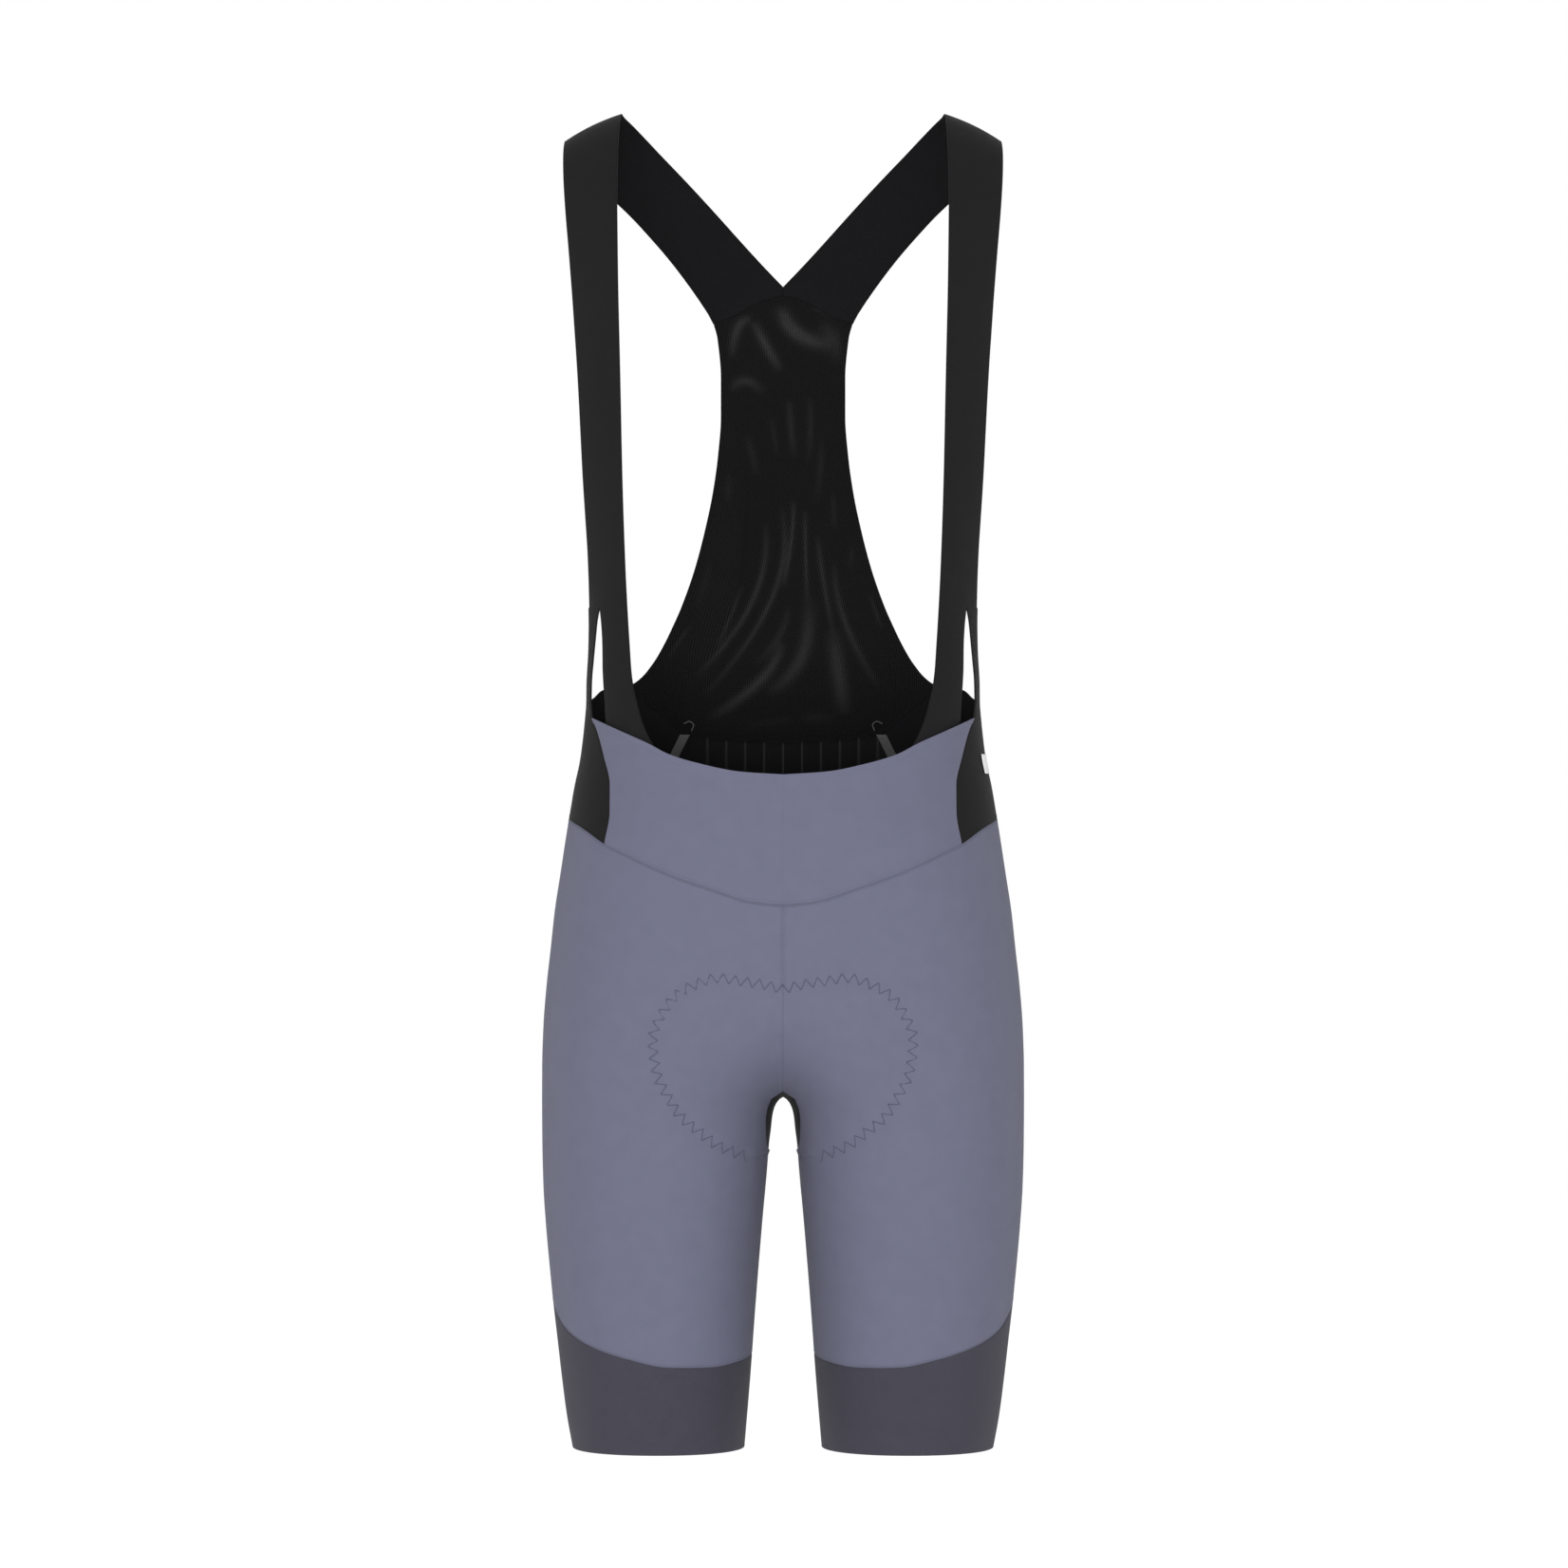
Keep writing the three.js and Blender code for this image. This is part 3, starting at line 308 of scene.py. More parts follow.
def knit(name, colour, wale=0.55, depth=0.00012, roughness=0.62, sheen=0.04, gloss=0.08, shade=0.12,
         course=None, highlight_and_line_colour=None):
    """Fine jersey: rows of small loops from two sine waves on the cloth's own UV map, as bump and as
    painted shade in the colour, lighter on the loops and darker between them by the share shade, and a
    slow noise over it. wale and course are the pitches of the loops in millimetres across and down, and
    highlight_and_line_colour the colour where the cloth's highlight_and_lines are 1."""
    material = bpy.data.materials.new(name)
    material.use_nodes = True
    nodes, links = material.node_tree.nodes, material.node_tree.links
    shader = nodes["Principled BSDF"]
    uv = nodes.new("ShaderNodeUVMap")
    uv.uv_map = "cloth"
    split = nodes.new("ShaderNodeSeparateXYZ")
    links.new(uv.outputs[0], split.inputs[0])

    def wave(output, pitch):
        scaled = nodes.new("ShaderNodeMath")
        scaled.operation = "MULTIPLY"
        scaled.inputs[1].default_value = 2 * np.pi / (pitch / 1000)
        links.new(output, scaled.inputs[0])
        sine = nodes.new("ShaderNodeMath")
        sine.operation = "SINE"
        links.new(scaled.outputs[0], sine.inputs[0])
        return sine.outputs[0]

    across, down = wave(split.outputs[0], wale), wave(split.outputs[1], course or wale * 0.8)
    loops = nodes.new("ShaderNodeMath")
    loops.operation = "MULTIPLY_ADD"
    loops.inputs[1].default_value = 0.45
    links.new(down, loops.inputs[0])
    links.new(across, loops.inputs[2])
    coordinates = nodes.new("ShaderNodeTexCoord")
    noise = nodes.new("ShaderNodeTexNoise")
    noise.inputs["Scale"].default_value = 90
    noise.inputs["Detail"].default_value = 3
    links.new(coordinates.outputs["Object"], noise.inputs["Vector"])
    # Painted shade: the colour is lighter on the loops and darker between them, by the loops' height.
    loop_shade = nodes.new("ShaderNodeMapRange")
    loop_shade.inputs["From Min"].default_value = -1.45
    loop_shade.inputs["From Max"].default_value = 1.45
    loop_shade.inputs["To Min"].default_value = 1 - shade
    loop_shade.inputs["To Max"].default_value = 1 + shade
    links.new(loops.outputs[0], loop_shade.inputs["Value"])
    mottle = nodes.new("ShaderNodeMapRange")
    mottle.inputs["To Min"].default_value = 0.93
    mottle.inputs["To Max"].default_value = 1.07
    links.new(noise.outputs[0], mottle.inputs["Value"])
    both = nodes.new("ShaderNodeMath")
    both.operation = "MULTIPLY"
    links.new(loop_shade.outputs[0], both.inputs[0])
    links.new(mottle.outputs[0], both.inputs[1])
    dyed = nodes.new("ShaderNodeVectorMath")
    dyed.operation = "SCALE"
    dyed.inputs[0].default_value = colour
    links.new(both.outputs[0], dyed.inputs["Scale"])
    # A lighter colour by the point's number: painted highlight on the net's folds, and lines on the waist's
    # ribs.
    if highlight_and_line_colour is not None:
        highlight_and_lines = nodes.new("ShaderNodeAttribute")
        highlight_and_lines.attribute_name = "highlight_and_lines"
        blend_in = nodes.new("ShaderNodeMix")
        blend_in.data_type = "VECTOR"
        blend_in.inputs[4].default_value = colour
        blend_in.inputs[5].default_value = highlight_and_line_colour
        links.new(highlight_and_lines.outputs["Fac"], blend_in.inputs[0])
        links.new(blend_in.outputs[1], dyed.inputs[0])
    links.new(dyed.outputs[0], shader.inputs["Base Color"])
    bump = nodes.new("ShaderNodeBump")
    bump.inputs["Distance"].default_value = depth
    bump.inputs["Strength"].default_value = 0.6
    links.new(loops.outputs[0], bump.inputs["Height"])
    links.new(bump.outputs[0], shader.inputs["Normal"])
    shader.inputs["Roughness"].default_value = roughness
    shader.inputs["Sheen Weight"].default_value = sheen
    shader.inputs["Sheen Roughness"].default_value = 0.4
    shader.inputs["Specular IOR Level"].default_value = gloss
    return material


slate = knit("slate_knit", (0.0965, 0.099, 0.143))
# Painted shade: the wearer's side is a darker copy of the slate knit, for the shade inside the garment.
slate_inside_painted_shade = knit("slate_inside_painted_shade", (0.039, 0.04, 0.054), sheen=0.05)

yoke_u, yoke_v = ease(64), ease(56)
yoke_x = np.linspace(0, 131.5, 200)
yoke_seam_x = np.linspace(0, 122.1, 200)
yoke_seam = on_front(yoke_seam_x, read(YOKE_SEAM, "x", "z", yoke_seam_x))
yoke_side_z = np.linspace(-411.5, -498, 200)
yoke_side = on_front(read(YOKE_SIDE, "z", "x", yoke_side_z), yoke_side_z)
yoke_points, yoke_chart = panel(
    spread(on_front(yoke_x, read(YOKE_TOP, "x", "z", yoke_x)), yoke_u),
    spread(yoke_side, yoke_v),
    spread(yoke_seam, yoke_u),
    spread(centre(np.linspace(-450.5, -539, 200), "front"), yoke_v),
    yoke_u, yoke_v,
)
yoke_points, yoke_chart = both_halves(yoke_points, yoke_chart)
hem = edge_distance(yoke_points, "top")
hem_lift = 0.45 / (1 + np.exp((hem - HEM_FOLD) / 0.35)) - 0.25 * np.exp(-(((hem - HEM_FOLD) / 0.5) ** 2))
yoke_points = raised(yoke_points, hem_lift - roll(yoke_points, ("bottom",), flat=("bottom",)))
yoke = sew("front_waistband", [(yoke_points, yoke_chart)], slate, inside=slate_inside_painted_shade)
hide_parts("front_yoke")

# Front leg panels: one piece for each leg, from the waistband to the band above the knee. A centre
# seam joins them over the saddle pad, and a seam behind the outer thigh joins them to the back.
SEAT_FALL = table(
    "s z", (-80.6, -498), (-60, -490), (-45, -485.8), (-25, -482.6), (0, -480), (70, -470), (130, -466),
    (230, -465),
)
THIGH_SEAM = table("z s", (-470, 62), (-530, 56), (-600, 40), (-700, 22), (-800, 12), (-830, 10))
BAND_TOP = table(
    "turn z", (0, -851.7), (0.105, -855), (0.16, -856.8), (0.235, -856), (0.289, -851), (0.35, -843.5),
    (0.408, -834), (0.46, -822), (0.5, -815), (0.56, -822), (0.62, -836), (0.7, -849), (0.78, -856),
    (0.88, -858), (1, -851.7),
)
INSERT = {"front": -668.0, "back": -649.0, "low": -711.0, "curve": 3.0}


def seat_line(start, end):
    s = np.linspace(start, end, 200)
    return np.stack([s, read(SEAT_FALL, "s", "z", s)], -1)


def band_top(turn):
    """Top seam of the leg band by share of the leg's girth, from the inseam by the front."""
    z = read(BAND_TOP, "turn", "z", turn)
    run = section(z)["s"]
    return np.stack([run[:, 0] + turn * (run[:, -1] - run[:, 0]), z], -1)


def insert_edge(turn, way, clear=0.0):
    """Edge of the saddle insert at angles from a tip: y = depth cos^p a, z = tip + drop sin^p a."""
    side = 1 if way == "back" else -1
    tip, power = INSERT[way], 2 / INSERT["curve"]
    depth = abs(section(tip)["y"][0, -1 if way == "back" else 0])

    def at(angle):
        y = side * depth * np.maximum(np.cos(angle), 0) ** power
        return y, tip + (INSERT["low"] - tip) * np.sin(angle) ** power

    (ya, za), (yb, zb), (y, z) = (at(np.clip(turn + d, 0, np.pi / 2)) for d in (-0.02, 0.02, 0))
    length = np.hypot(yb - ya, zb - za)
    return y + side * clear * (zb - za) / length, z - side * clear * (yb - ya) / length


def leg_inside(top, way, counts):
    """Inner side of a leg panel: down the centre seam, along the insert's edge, down the inseam."""
    turns = np.linspace(0, np.pi / 2, counts[1] + 1)[1:]
    y, z = insert_edge(turns, way)
    quarters = (3, 4) if way == "back" else (0, 1)
    edge = crossing(z, *quarters, "y", y)
    edge[-1] = section(z[-1])["s"][0, -1 if way == "back" else 0]
    inseam = centre(np.linspace(INSERT["low"], band_top(np.zeros(1))[0, 1], 200), way)
    seam = centre(np.linspace(top, INSERT[way], 200), way)
    parts = [spread(seam, np.linspace(0, 1, counts[0] + 1)), np.stack([edge, z], -1)]
    return np.concatenate(parts + [spread(inseam, 1 - (1 - np.linspace(0, 1, counts[2] + 1)) ** 1.3)[1:]])


def thigh_side(top, bottom):
    z = np.linspace(top, bottom[1], 200)
    line = np.stack([read(THIGH_SEAM, "z", "s", z), z], -1)
    line[-1] = bottom
    return line


outer_turn = 0.5
for _ in range(12):
    foot = band_top(np.array([outer_turn]))[0]
    run = section(foot[1])["s"][0]
    outer_turn = float((read(THIGH_SEAM, "z", "s", foot[1]) - run[0]) / (run[-1] - run[0]))
outer_foot = band_top(np.array([outer_turn]))[0]
seat_s = float(THIGH_SEAM["s"][0])
seat_z = float(read(SEAT_FALL, "s", "z", seat_s))
LEG_ROWS = (50, 34, 60)
leg_v = np.concatenate([
    np.linspace(0, 8, LEG_ROWS[0] + 1), np.linspace(8, 15, LEG_ROWS[1] + 1)[1:],
    np.linspace(15, 24, LEG_ROWS[2] + 1)[1:],
]) / 24
first, rest = ease(60), ease(44)
front_u = np.concatenate([first * 0.6, 0.6 + rest[1:] * 0.4])
front_seat = spread(seat_line(yoke_seam[-1, 0], seat_s), rest)
front_top = np.concatenate([spread(yoke_seam, first), front_seat[1:]])
front_points, front_chart = panel(
    front_top,
    spread(thigh_side(seat_z, outer_foot), leg_v),
    band_top(outer_turn * front_u),
    leg_inside(-539.0, "front", LEG_ROWS),
    front_u, leg_v,
)

# The pad behind the cloth lifts it a little, up to the zigzag that holds it: half of its outline.
PAD = table(
    "x z", (0, -596), (15, -593.5), (30, -590.5), (46, -589.5), (64, -595), (79.5, -608.5), (87, -624),
    (88.3, -642), (83, -661), (73, -679), (60.5, -692), (48, -701.5), (33, -710), (25, -713),
)
ZIGZAG = {"pitch": 8.2, "reach": 3.5, "thread": 0.32}


def smooth_line(points, count):
    """A line through points, at even steps of the share of its length."""
    length = along(points)
    shares = np.interp(np.linspace(0, length[-1], count), length, np.linspace(0, 1, len(points)))
    return curve_through(points, shares)


def curve_through(points, shares):
    """Centripetal Catmull-Rom curve through points, with knots a square root of each chord apart."""
    ends = np.concatenate([[2 * points[0] - points[1]], points, [2 * points[-1] - points[-2]]])
    knots = np.sqrt(np.linalg.norm(np.diff(ends, axis=0), axis=1))
    place = np.asarray(shares) * (len(points) - 1)
    i = np.clip(place.astype(int), 0, len(points) - 2)
    t = (place - i)[:, None]
    p0, p1, p2, p3 = (ends[i + k] for k in range(4))
    d0, d1, d2 = (knots[i + k][:, None] for k in range(3))
    start = ((p1 - p0) / d0 - (p2 - p0) / (d0 + d1) + (p2 - p1) / d1) * d1
    end = ((p2 - p1) / d1 - (p3 - p1) / (d1 + d2) + (p3 - p2) / d2) * d1
    c2, c3 = -3 * p1 + 3 * p2 - 2 * start - end, 2 * p1 - 2 * p2 + start + end
    return p1 + start * t + c2 * t**2 + c3 * t**3


def line_distance(x, z, line):
    """Distance in the view from the front to a line, and how far along the line, as a share."""
    a, b = line[:-1], line[1:]
    step = b - a
    size = (step**2).sum(1)
    best, share = np.full(np.shape(x), np.inf), np.zeros(np.shape(x))
    for k in range(len(a)):
        t = np.clip(((x - a[k, 0]) * step[k, 0] + (z - a[k, 1]) * step[k, 1]) / size[k], 0, 1)
        away = np.hypot(x - a[k, 0] - t * step[k, 0], z - a[k, 1] - t * step[k, 1])
        share = np.where(away < best, (k + t) / len(a), share)
        best = np.minimum(best, away)
    return best, share


def pad_lift(x, z):
    """0.9 mm inside the outline, in an eased step 7 mm wide, less a groove along the stitches."""
    x = np.abs(x)
    line = np.stack([PAD["x"], PAD["z"]], -1)
    away, _ = line_distance(x, z, smooth_line(line, 40))
    ring = np.concatenate([line, [[0, PAD["z"][-1]]]])
    ahead = np.roll(ring, -1, axis=0)
    inside = np.zeros(np.shape(x), bool)
    for (xa, za), (xb, zb) in zip(ring, ahead):
        if za != zb:
            inside ^= ((za > z) != (zb > z)) & (x < xa + (z - za) * (xb - xa) / (zb - za))
    step = np.clip(np.where(inside, away, 0) / 7, 0, 1)
    return 0.9 * step**2 * (3 - 2 * step) - 0.3 * np.exp(-((away / 2.4) ** 2))


front_lift = pad_lift(front_points[..., 0], front_points[..., 2])
front_sink = roll(front_points, ("top", "right", "bottom", "left"), flat=("top",))
front_points = raised(front_points, front_lift - front_sink)
for name, grid in (("right", (front_points, front_chart)), ("left", other_side(front_points, front_chart))):
    leg = sew("front_leg_panel_" + name, [grid], slate, inside=slate_inside_painted_shade)
    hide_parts("front_leg_" + name)

# Zigzag stitching that holds the pad, in a thread a little darker than the cloth, from one inner
# thigh round the front to the other.


def normal_at(s, z):
    """Outward unit normals of the body, from small steps of girth and height."""
    step = 0.4
    normal = np.cross(skin(s, z - step) - skin(s, z + step), skin(s + step, z) - skin(s - step, z))
    return normal / np.linalg.norm(normal, axis=-1, keepdims=True)


def tubes(name, paths, radius, material, sides=6):
    """Threads along paths of equal numbers of points, an array (paths, points, 3), as one mesh: a
    ring of points round each, square to its direction, and a flat cap at both ends."""
    step = np.gradient(paths, axis=1)
    step = step / np.linalg.norm(step, axis=2, keepdims=True)
    side = np.cross(step, (0.13, 0.97, 0.2))
    side = side / np.linalg.norm(side, axis=2, keepdims=True)
    turn = np.arange(sides) / sides * 2 * np.pi
    up = np.cross(step, side)
    ring = side[:, :, None] * np.cos(turn)[:, None] + up[:, :, None] * np.sin(turn)[:, None]
    places = (paths[:, :, None] + ring * radius) / 1000
    count, length = paths.shape[:2]
    index = np.arange(count * length * sides).reshape(count, length, sides)
    after = np.roll(index, -1, axis=2)
    walls = np.stack([index[:, :-1], after[:, :-1], after[:, 1:], index[:, 1:]], -1).reshape(-1, 4)
    caps = np.concatenate([index[:, 0, ::-1], index[:, -1]])
    mesh = bpy.data.meshes.new(name)
    mesh.from_pydata(places.reshape(-1, 3), [], walls.tolist() + caps.tolist())
    smooth = np.arange(len(walls) + len(caps)) < len(walls)
    mesh.polygons.foreach_set("use_smooth", smooth)
    uv = np.stack([places[..., 0] * 0 + turn * radius / 1000, np.broadcast_to(
        np.arange(length)[None, :, None] * 0.0004, places.shape[:3])], -1).reshape(-1, 2)
    corners = np.zeros(len(mesh.loops), np.int32)
    mesh.loops.foreach_get("vertex_index", corners)
    mesh.uv_layers.new(name="cloth").data.foreach_set("uv", uv[corners].ravel())
    mesh.materials.append(material)
    obj = bpy.data.objects.new(name, mesh)
    bpy.context.scene.collection.objects.link(obj)
    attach(obj, "root")
    return obj


thread = knit("slate_thread", (0.061, 0.063, 0.096), wale=0.25, depth=0.00005)
half_pad = smooth_line(np.stack([PAD["x"], PAD["z"]], -1), 400)
whole_pad = np.concatenate([half_pad[::-1] * (-1, 1), half_pad[1:]])
length = along(whole_pad)
teeth = np.arange(0, length[-1] / ZIGZAG["pitch"] * 2)
fine = np.linspace(0, teeth[-1], int(teeth[-1]) * 7)
tooth = np.where(teeth % 2 == 0, 1, -1) * (1 + 0.12 * np.sin(teeth * 2.3))
swing = ZIGZAG["reach"] * np.interp(fine, teeth, tooth)
at = fine * ZIGZAG["pitch"] / 2
middle = np.stack([np.interp(at, length, whole_pad[:, k]) for k in (0, 1)], -1)
slope = np.gradient(middle, axis=0)
slope = slope / np.linalg.norm(slope, axis=1, keepdims=True)
place = middle + swing[:, None] * np.stack([-slope[:, 1], slope[:, 0]], -1)
half_x = np.maximum(np.abs(place[:, 0]), 0.2)
place_s = crossing(place[:, 1], 0, 2, "x", half_x)
lift = pad_lift(half_x, place[:, 1]) + SHELL / 2 + 0.02
path = skin(place_s, place[:, 1]) + normal_at(place_s, place[:, 1]) * lift[:, None]
path[:, 0] = path[:, 0] * np.sign(place[:, 0])
tubes("pad_zigzag", path[None], ZIGZAG["thread"], thread)

# Back leg and seat panels: one for each leg, sewn along the centre back and the inseam, in the same
# knit as the front. They reach from the waist seam over the seat to the leg bands.
SEAT_CREASES = table(
    "x0 z0 x1 z1 x2 z2 height width",
    (18, -636, 58, -668, 112, -660, -1.3, 6.5), (30, -654, 66, -682, 104, -677, 0.8, 5),
    (44, -684, 72, -699, 96, -695, -0.7, 5), (7, -560, 20, -590, 33, -627, -0.8, 6),
    (15, -596, 34, -617, 62, -632, 0.6, 6), (104, -498, 121, -522, 131, -556, -0.6, 6),
    (84, -489, 98, -506, 104, -531, 0.5, 5), (40, -797, 74, -811, 113, -804, -0.8, 5),
    (52, -822, 78, -831, 101, -826, -0.5, 4), (60, -740, 92, -752, 124, -741, -0.4, 7),
)


def folds(points, rows):
    """Ridges, or troughs where the height is negative, along curves through three points of the view
    from the front: h sin^0.6(pi t) exp(-(d / w)^2) at a distance d from the place t of its curve."""
    lift = np.zeros(points.shape[:2])
    t = np.linspace(0, 1, 15)[:, None]
    for x0, z0, x1, z1, x2, z2, height, width in zip(*rows.values()):
        first, middle, last = np.array([(x0, z0), (x1, z1), (x2, z2)])
        line = first * (1 - t) ** 2 + (4 * middle - first - last) * t * (1 - t) + last * t**2
        away, share = line_distance(points[..., 0], points[..., 2], line)
        taper = np.sin(np.pi * np.clip(share, 0.001, 0.999)) ** 0.6
        lift += height * taper * np.exp(-((away / width) ** 2))
    return lift


back_u = ease(84)
back_points, back_chart = panel(
    spread(seat_line(seat_s, section(-465.0)["s"][0, -1]), back_u),
    leg_inside(-465.0, "back", LEG_ROWS),
    band_top(outer_turn + (1 - outer_turn) * back_u),
    spread(thigh_side(seat_z, outer_foot), leg_v),
    back_u, leg_v,
)
back_lift = folds(back_points, SEAT_CREASES) - roll(back_points, ("top", "right", "bottom", "left"))
back_points = raised(back_points, back_lift)
for name, grid in (("right", (back_points, back_chart)), ("left", other_side(back_points, back_chart))):
    seat = sew("back_leg_panel_" + name, [grid], slate, inside=slate_inside_painted_shade)
    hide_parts("back_leg_" + name)

# Leg bands: a darker tube of elastic knit with fine ribs round each leg, sewn on in a curve that
# rises at the outside, and cut raw at the hem.
HEM = -917.0
band_dye = knit("band_knit", (0.037, 0.0357, 0.048), wale=0.9, depth=0.0002, sheen=0.03)
band_turn = np.linspace(0, 1, 150)
band_v = ease(44)
top_line = band_top(band_turn)
band_z = top_line[None, :, 1] + (HEM - top_line[None, :, 1]) * band_v[:, None]
run = section(band_z.ravel())["s"]
start, end = (run[:, k].reshape(band_z.shape) for k in (0, -1))
band_s = start + (end - start) * band_turn[None, :]
band_points, band_chart = skin(band_s, band_z), np.stack([band_s, band_z], -1)
band_points[:, -1] = band_points[:, 0]
band_points = raised(band_points, -roll(band_points, ("top",)))
band_points[:, -1] = band_points[:, 0]
for name, grid in (("right", (band_points, band_chart)), ("left", other_side(band_points, band_chart))):
    band = sew("leg_band_tube_" + name, [grid], band_dye)
    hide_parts("leg_band_" + name)

# Saddle insert: an oval of black knit between the legs, sewn to all four leg panels.
black = knit("black_knit", (0.0078, 0.0082, 0.009), sheen=0.02, gloss=0.05)


def inner_thigh(y, z):
    """Half width of the inner thigh, where the section's inner quarter has that depth."""
    way = "front" if y < 0 else "back"
    share = np.minimum(abs(y) / read(BODY, "z", way, z), 1)
    reach, _ = inward(z, way)
    x = read(BODY, "z", "thigh", z) - reach * (1 - share**ROUNDNESS) ** (1 / ROUNDNESS)
    return np.sqrt(np.maximum(x * x - read(BODY, "z", "crease", z) ** 2, 0))


def closing(y):
    """Height at which the two thighs meet at a depth, by halving."""
    low, high, way = INSERT["low"], -560.0, "front" if y < 0 else "back"
    for _ in range(40):
        middle = (low + high) / 2
        climb = np.clip((middle - CROTCH) / RISE[way], 0, 1)
        open_here = np.sqrt(1 - (1 - climb) ** 2) * read(BODY, "z", way, middle) < abs(y)
        low, high = (middle, high) if open_here else (low, middle)
    return (low + high) / 2


turns = np.linspace(0.03, np.pi / 2, 34)
front_y, front_z = insert_edge(turns, "front", 0.2)
back_y, back_z = insert_edge(turns[:-1], "back", 0.2)
stations = list(zip(front_y, front_z)) + list(zip(back_y, back_z))[::-1]
insert_rows, insert_chart = [], []
for y, low in stations:
    t = np.linspace(0, 1, 60)
    level = low + (closing(y) - low) * (1 - (1 - t) ** 2)
    rib = np.stack([np.where(t == 1, 0, inner_thigh(y, level)), np.full_like(t, y), level], -1)
    length = along(rib)
    at = length[-1] * np.linspace(1, 0, 13)
    insert_rows.append(np.stack([np.interp(at, length, rib[:, k]) for k in range(3)], -1))
    insert_chart.append(np.stack([length[-1] - at, np.full(13, y)], -1))
insert_points, insert_chart = both_halves(np.array(insert_rows), np.array(insert_chart))
saddle = sew("saddle_insert_oval", [(insert_points, insert_chart)], black)
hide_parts("saddle_insert")

# Shoulder straps with their side panels: each side is one cut of smooth, firm black knit with bonded
# edges. It runs over the shoulder to a short seam at the middle of the back, and a slit parts its
# lower end: the inner branch goes inside the waistband, and the outer one turns round the side.
STRAP = table(
    "z inner outer", (-335, 106.8, 133.4), (-310, 108, 133.9), (-246, 109.9, 137.4), (-181, 111.2, 140.6),
    (-121, 112.8, 144.9),
)
SHOULDER = table(
    "ix iy iz ox oy oz",
    (113.5, -65, -86, 147.6, -38, -89), (114, -54, -54, 150.2, -31, -60), (114, -41, -28, 151.8, -22, -37),
    (113.6, -26, -8, 152.3, -11, -20.5), (113, -9, 5, 152, 1, -12), (112.2, 7, 9.2, 151.4, 12, -9.6),
    (110.3, 20, 7.6, 148.2, 25, -14.5), (105.2, 31, 3.6, 141, 37, -24.5), (97, 42, -4, 131, 45.5, -36),
    (86, 53, -14.8, 119.5, 51, -46.5), (74, 63, -26.5, 107, 57, -58), (61.6, 72, -39, 94.5, 64.5, -71),
    (47, 80.5, -54.3, 81.5, 73, -85.5), (32.6, 87.5, -69.8, 69.5, 81.5, -100.5),
    (17.5, 92.6, -86, 59, 88.5, -115), (7, 94.6, -97, 53, 92.5, -124),
)
INNER_BRANCH = table(
    "z inner outer inside", (-335, 106.8, 126, 0), (-349, 106, 124.6, 0), (-362, 105.2, 124, 0),
    (-375, 104.4, 123.9, 0), (-388, 103.4, 123.9, 0.6), (-401, 101.2, 123.8, 1.6), (-413, 98, 123.5, 2),
    (-424, 93.2, 122.5, 2), (-436, 86, 120, 2),
)
SLIT_EDGE = table(
    "z x", (-335, 126), (-345, 128), (-359, 129.6), (-372, 131), (-386, 132.3), (-400, 132.6),
    (-411.5, 131.5),
)
ARMHOLE = table("s z", (-31, -335), (-27, -350), (-20, -367), (-9, -384), (3, -395), (13, -399.5))
ARMHOLE_FOOT = table("s z", (13, -399.5), (24, -397), (36, -391.5), (50, -388.7))
MESH_ARC = table("x z", (0, -110.5), (14, -113.6), (24, -118.5), (37, -125.6), (49.5, -129.8))
MESH_FOOT = table("x z", (0, -428), (35, -426.4), (69.5, -421), (90, -405), (112, -388.5))
TAPE_LINE = table("z x", (-421, 69.5), (-436, 77), (-466, 92))
STRAP_COLUMNS = (16, 9)
BOW = 1.6


def blend(first, last, shares):
    """Rows between two rows of points, at shares of the way."""
    return first[None] + (last - first)[None] * np.asarray(shares)[:, None, None]


strap_knit = knit("strap_knit", (0.0089, 0.0085, 0.0092), roughness=0.55, sheen=0.006, gloss=0.04)
# Painted shade: the wearer's side is a darker copy of the strap knit, for the shade inside the garment.
strap_inside_painted_shade = knit("strap_inside_painted_shade", (0.0048, 0.0046, 0.0053), roughness=0.6, sheen=0.01, gloss=0.04)
slit_top = STRAP["z"][0]
slit_z = np.linspace(slit_top, -411.5, 200)
slit_line = on_front(read(SLIT_EDGE, "z", "x", slit_z), slit_z)
arm_s = np.linspace(ARMHOLE["s"][0], 13, 200)
arm_line = np.stack([arm_s, read(ARMHOLE, "s", "z", arm_s)], -1)
arm_line[0] = on_front(STRAP["outer"][:1], slit_top)[0]
inner_s = on_front(STRAP["inner"][:1], slit_top)[0, 0]
slit_s = slit_line[0, 0]
slit_row = np.concatenate([
    np.linspace(inner_s, slit_s, STRAP_COLUMNS[0] + 1),
    np.linspace(slit_s, arm_line[0, 0], STRAP_COLUMNS[1] + 1)[1:],
])
slit_chart = np.stack([slit_row, np.full_like(slit_row, slit_top)], -1)
slit_points = skin(slit_chart[:, 0], slit_chart[:, 1])
shares = along(slit_points) / along(slit_points)[-1]

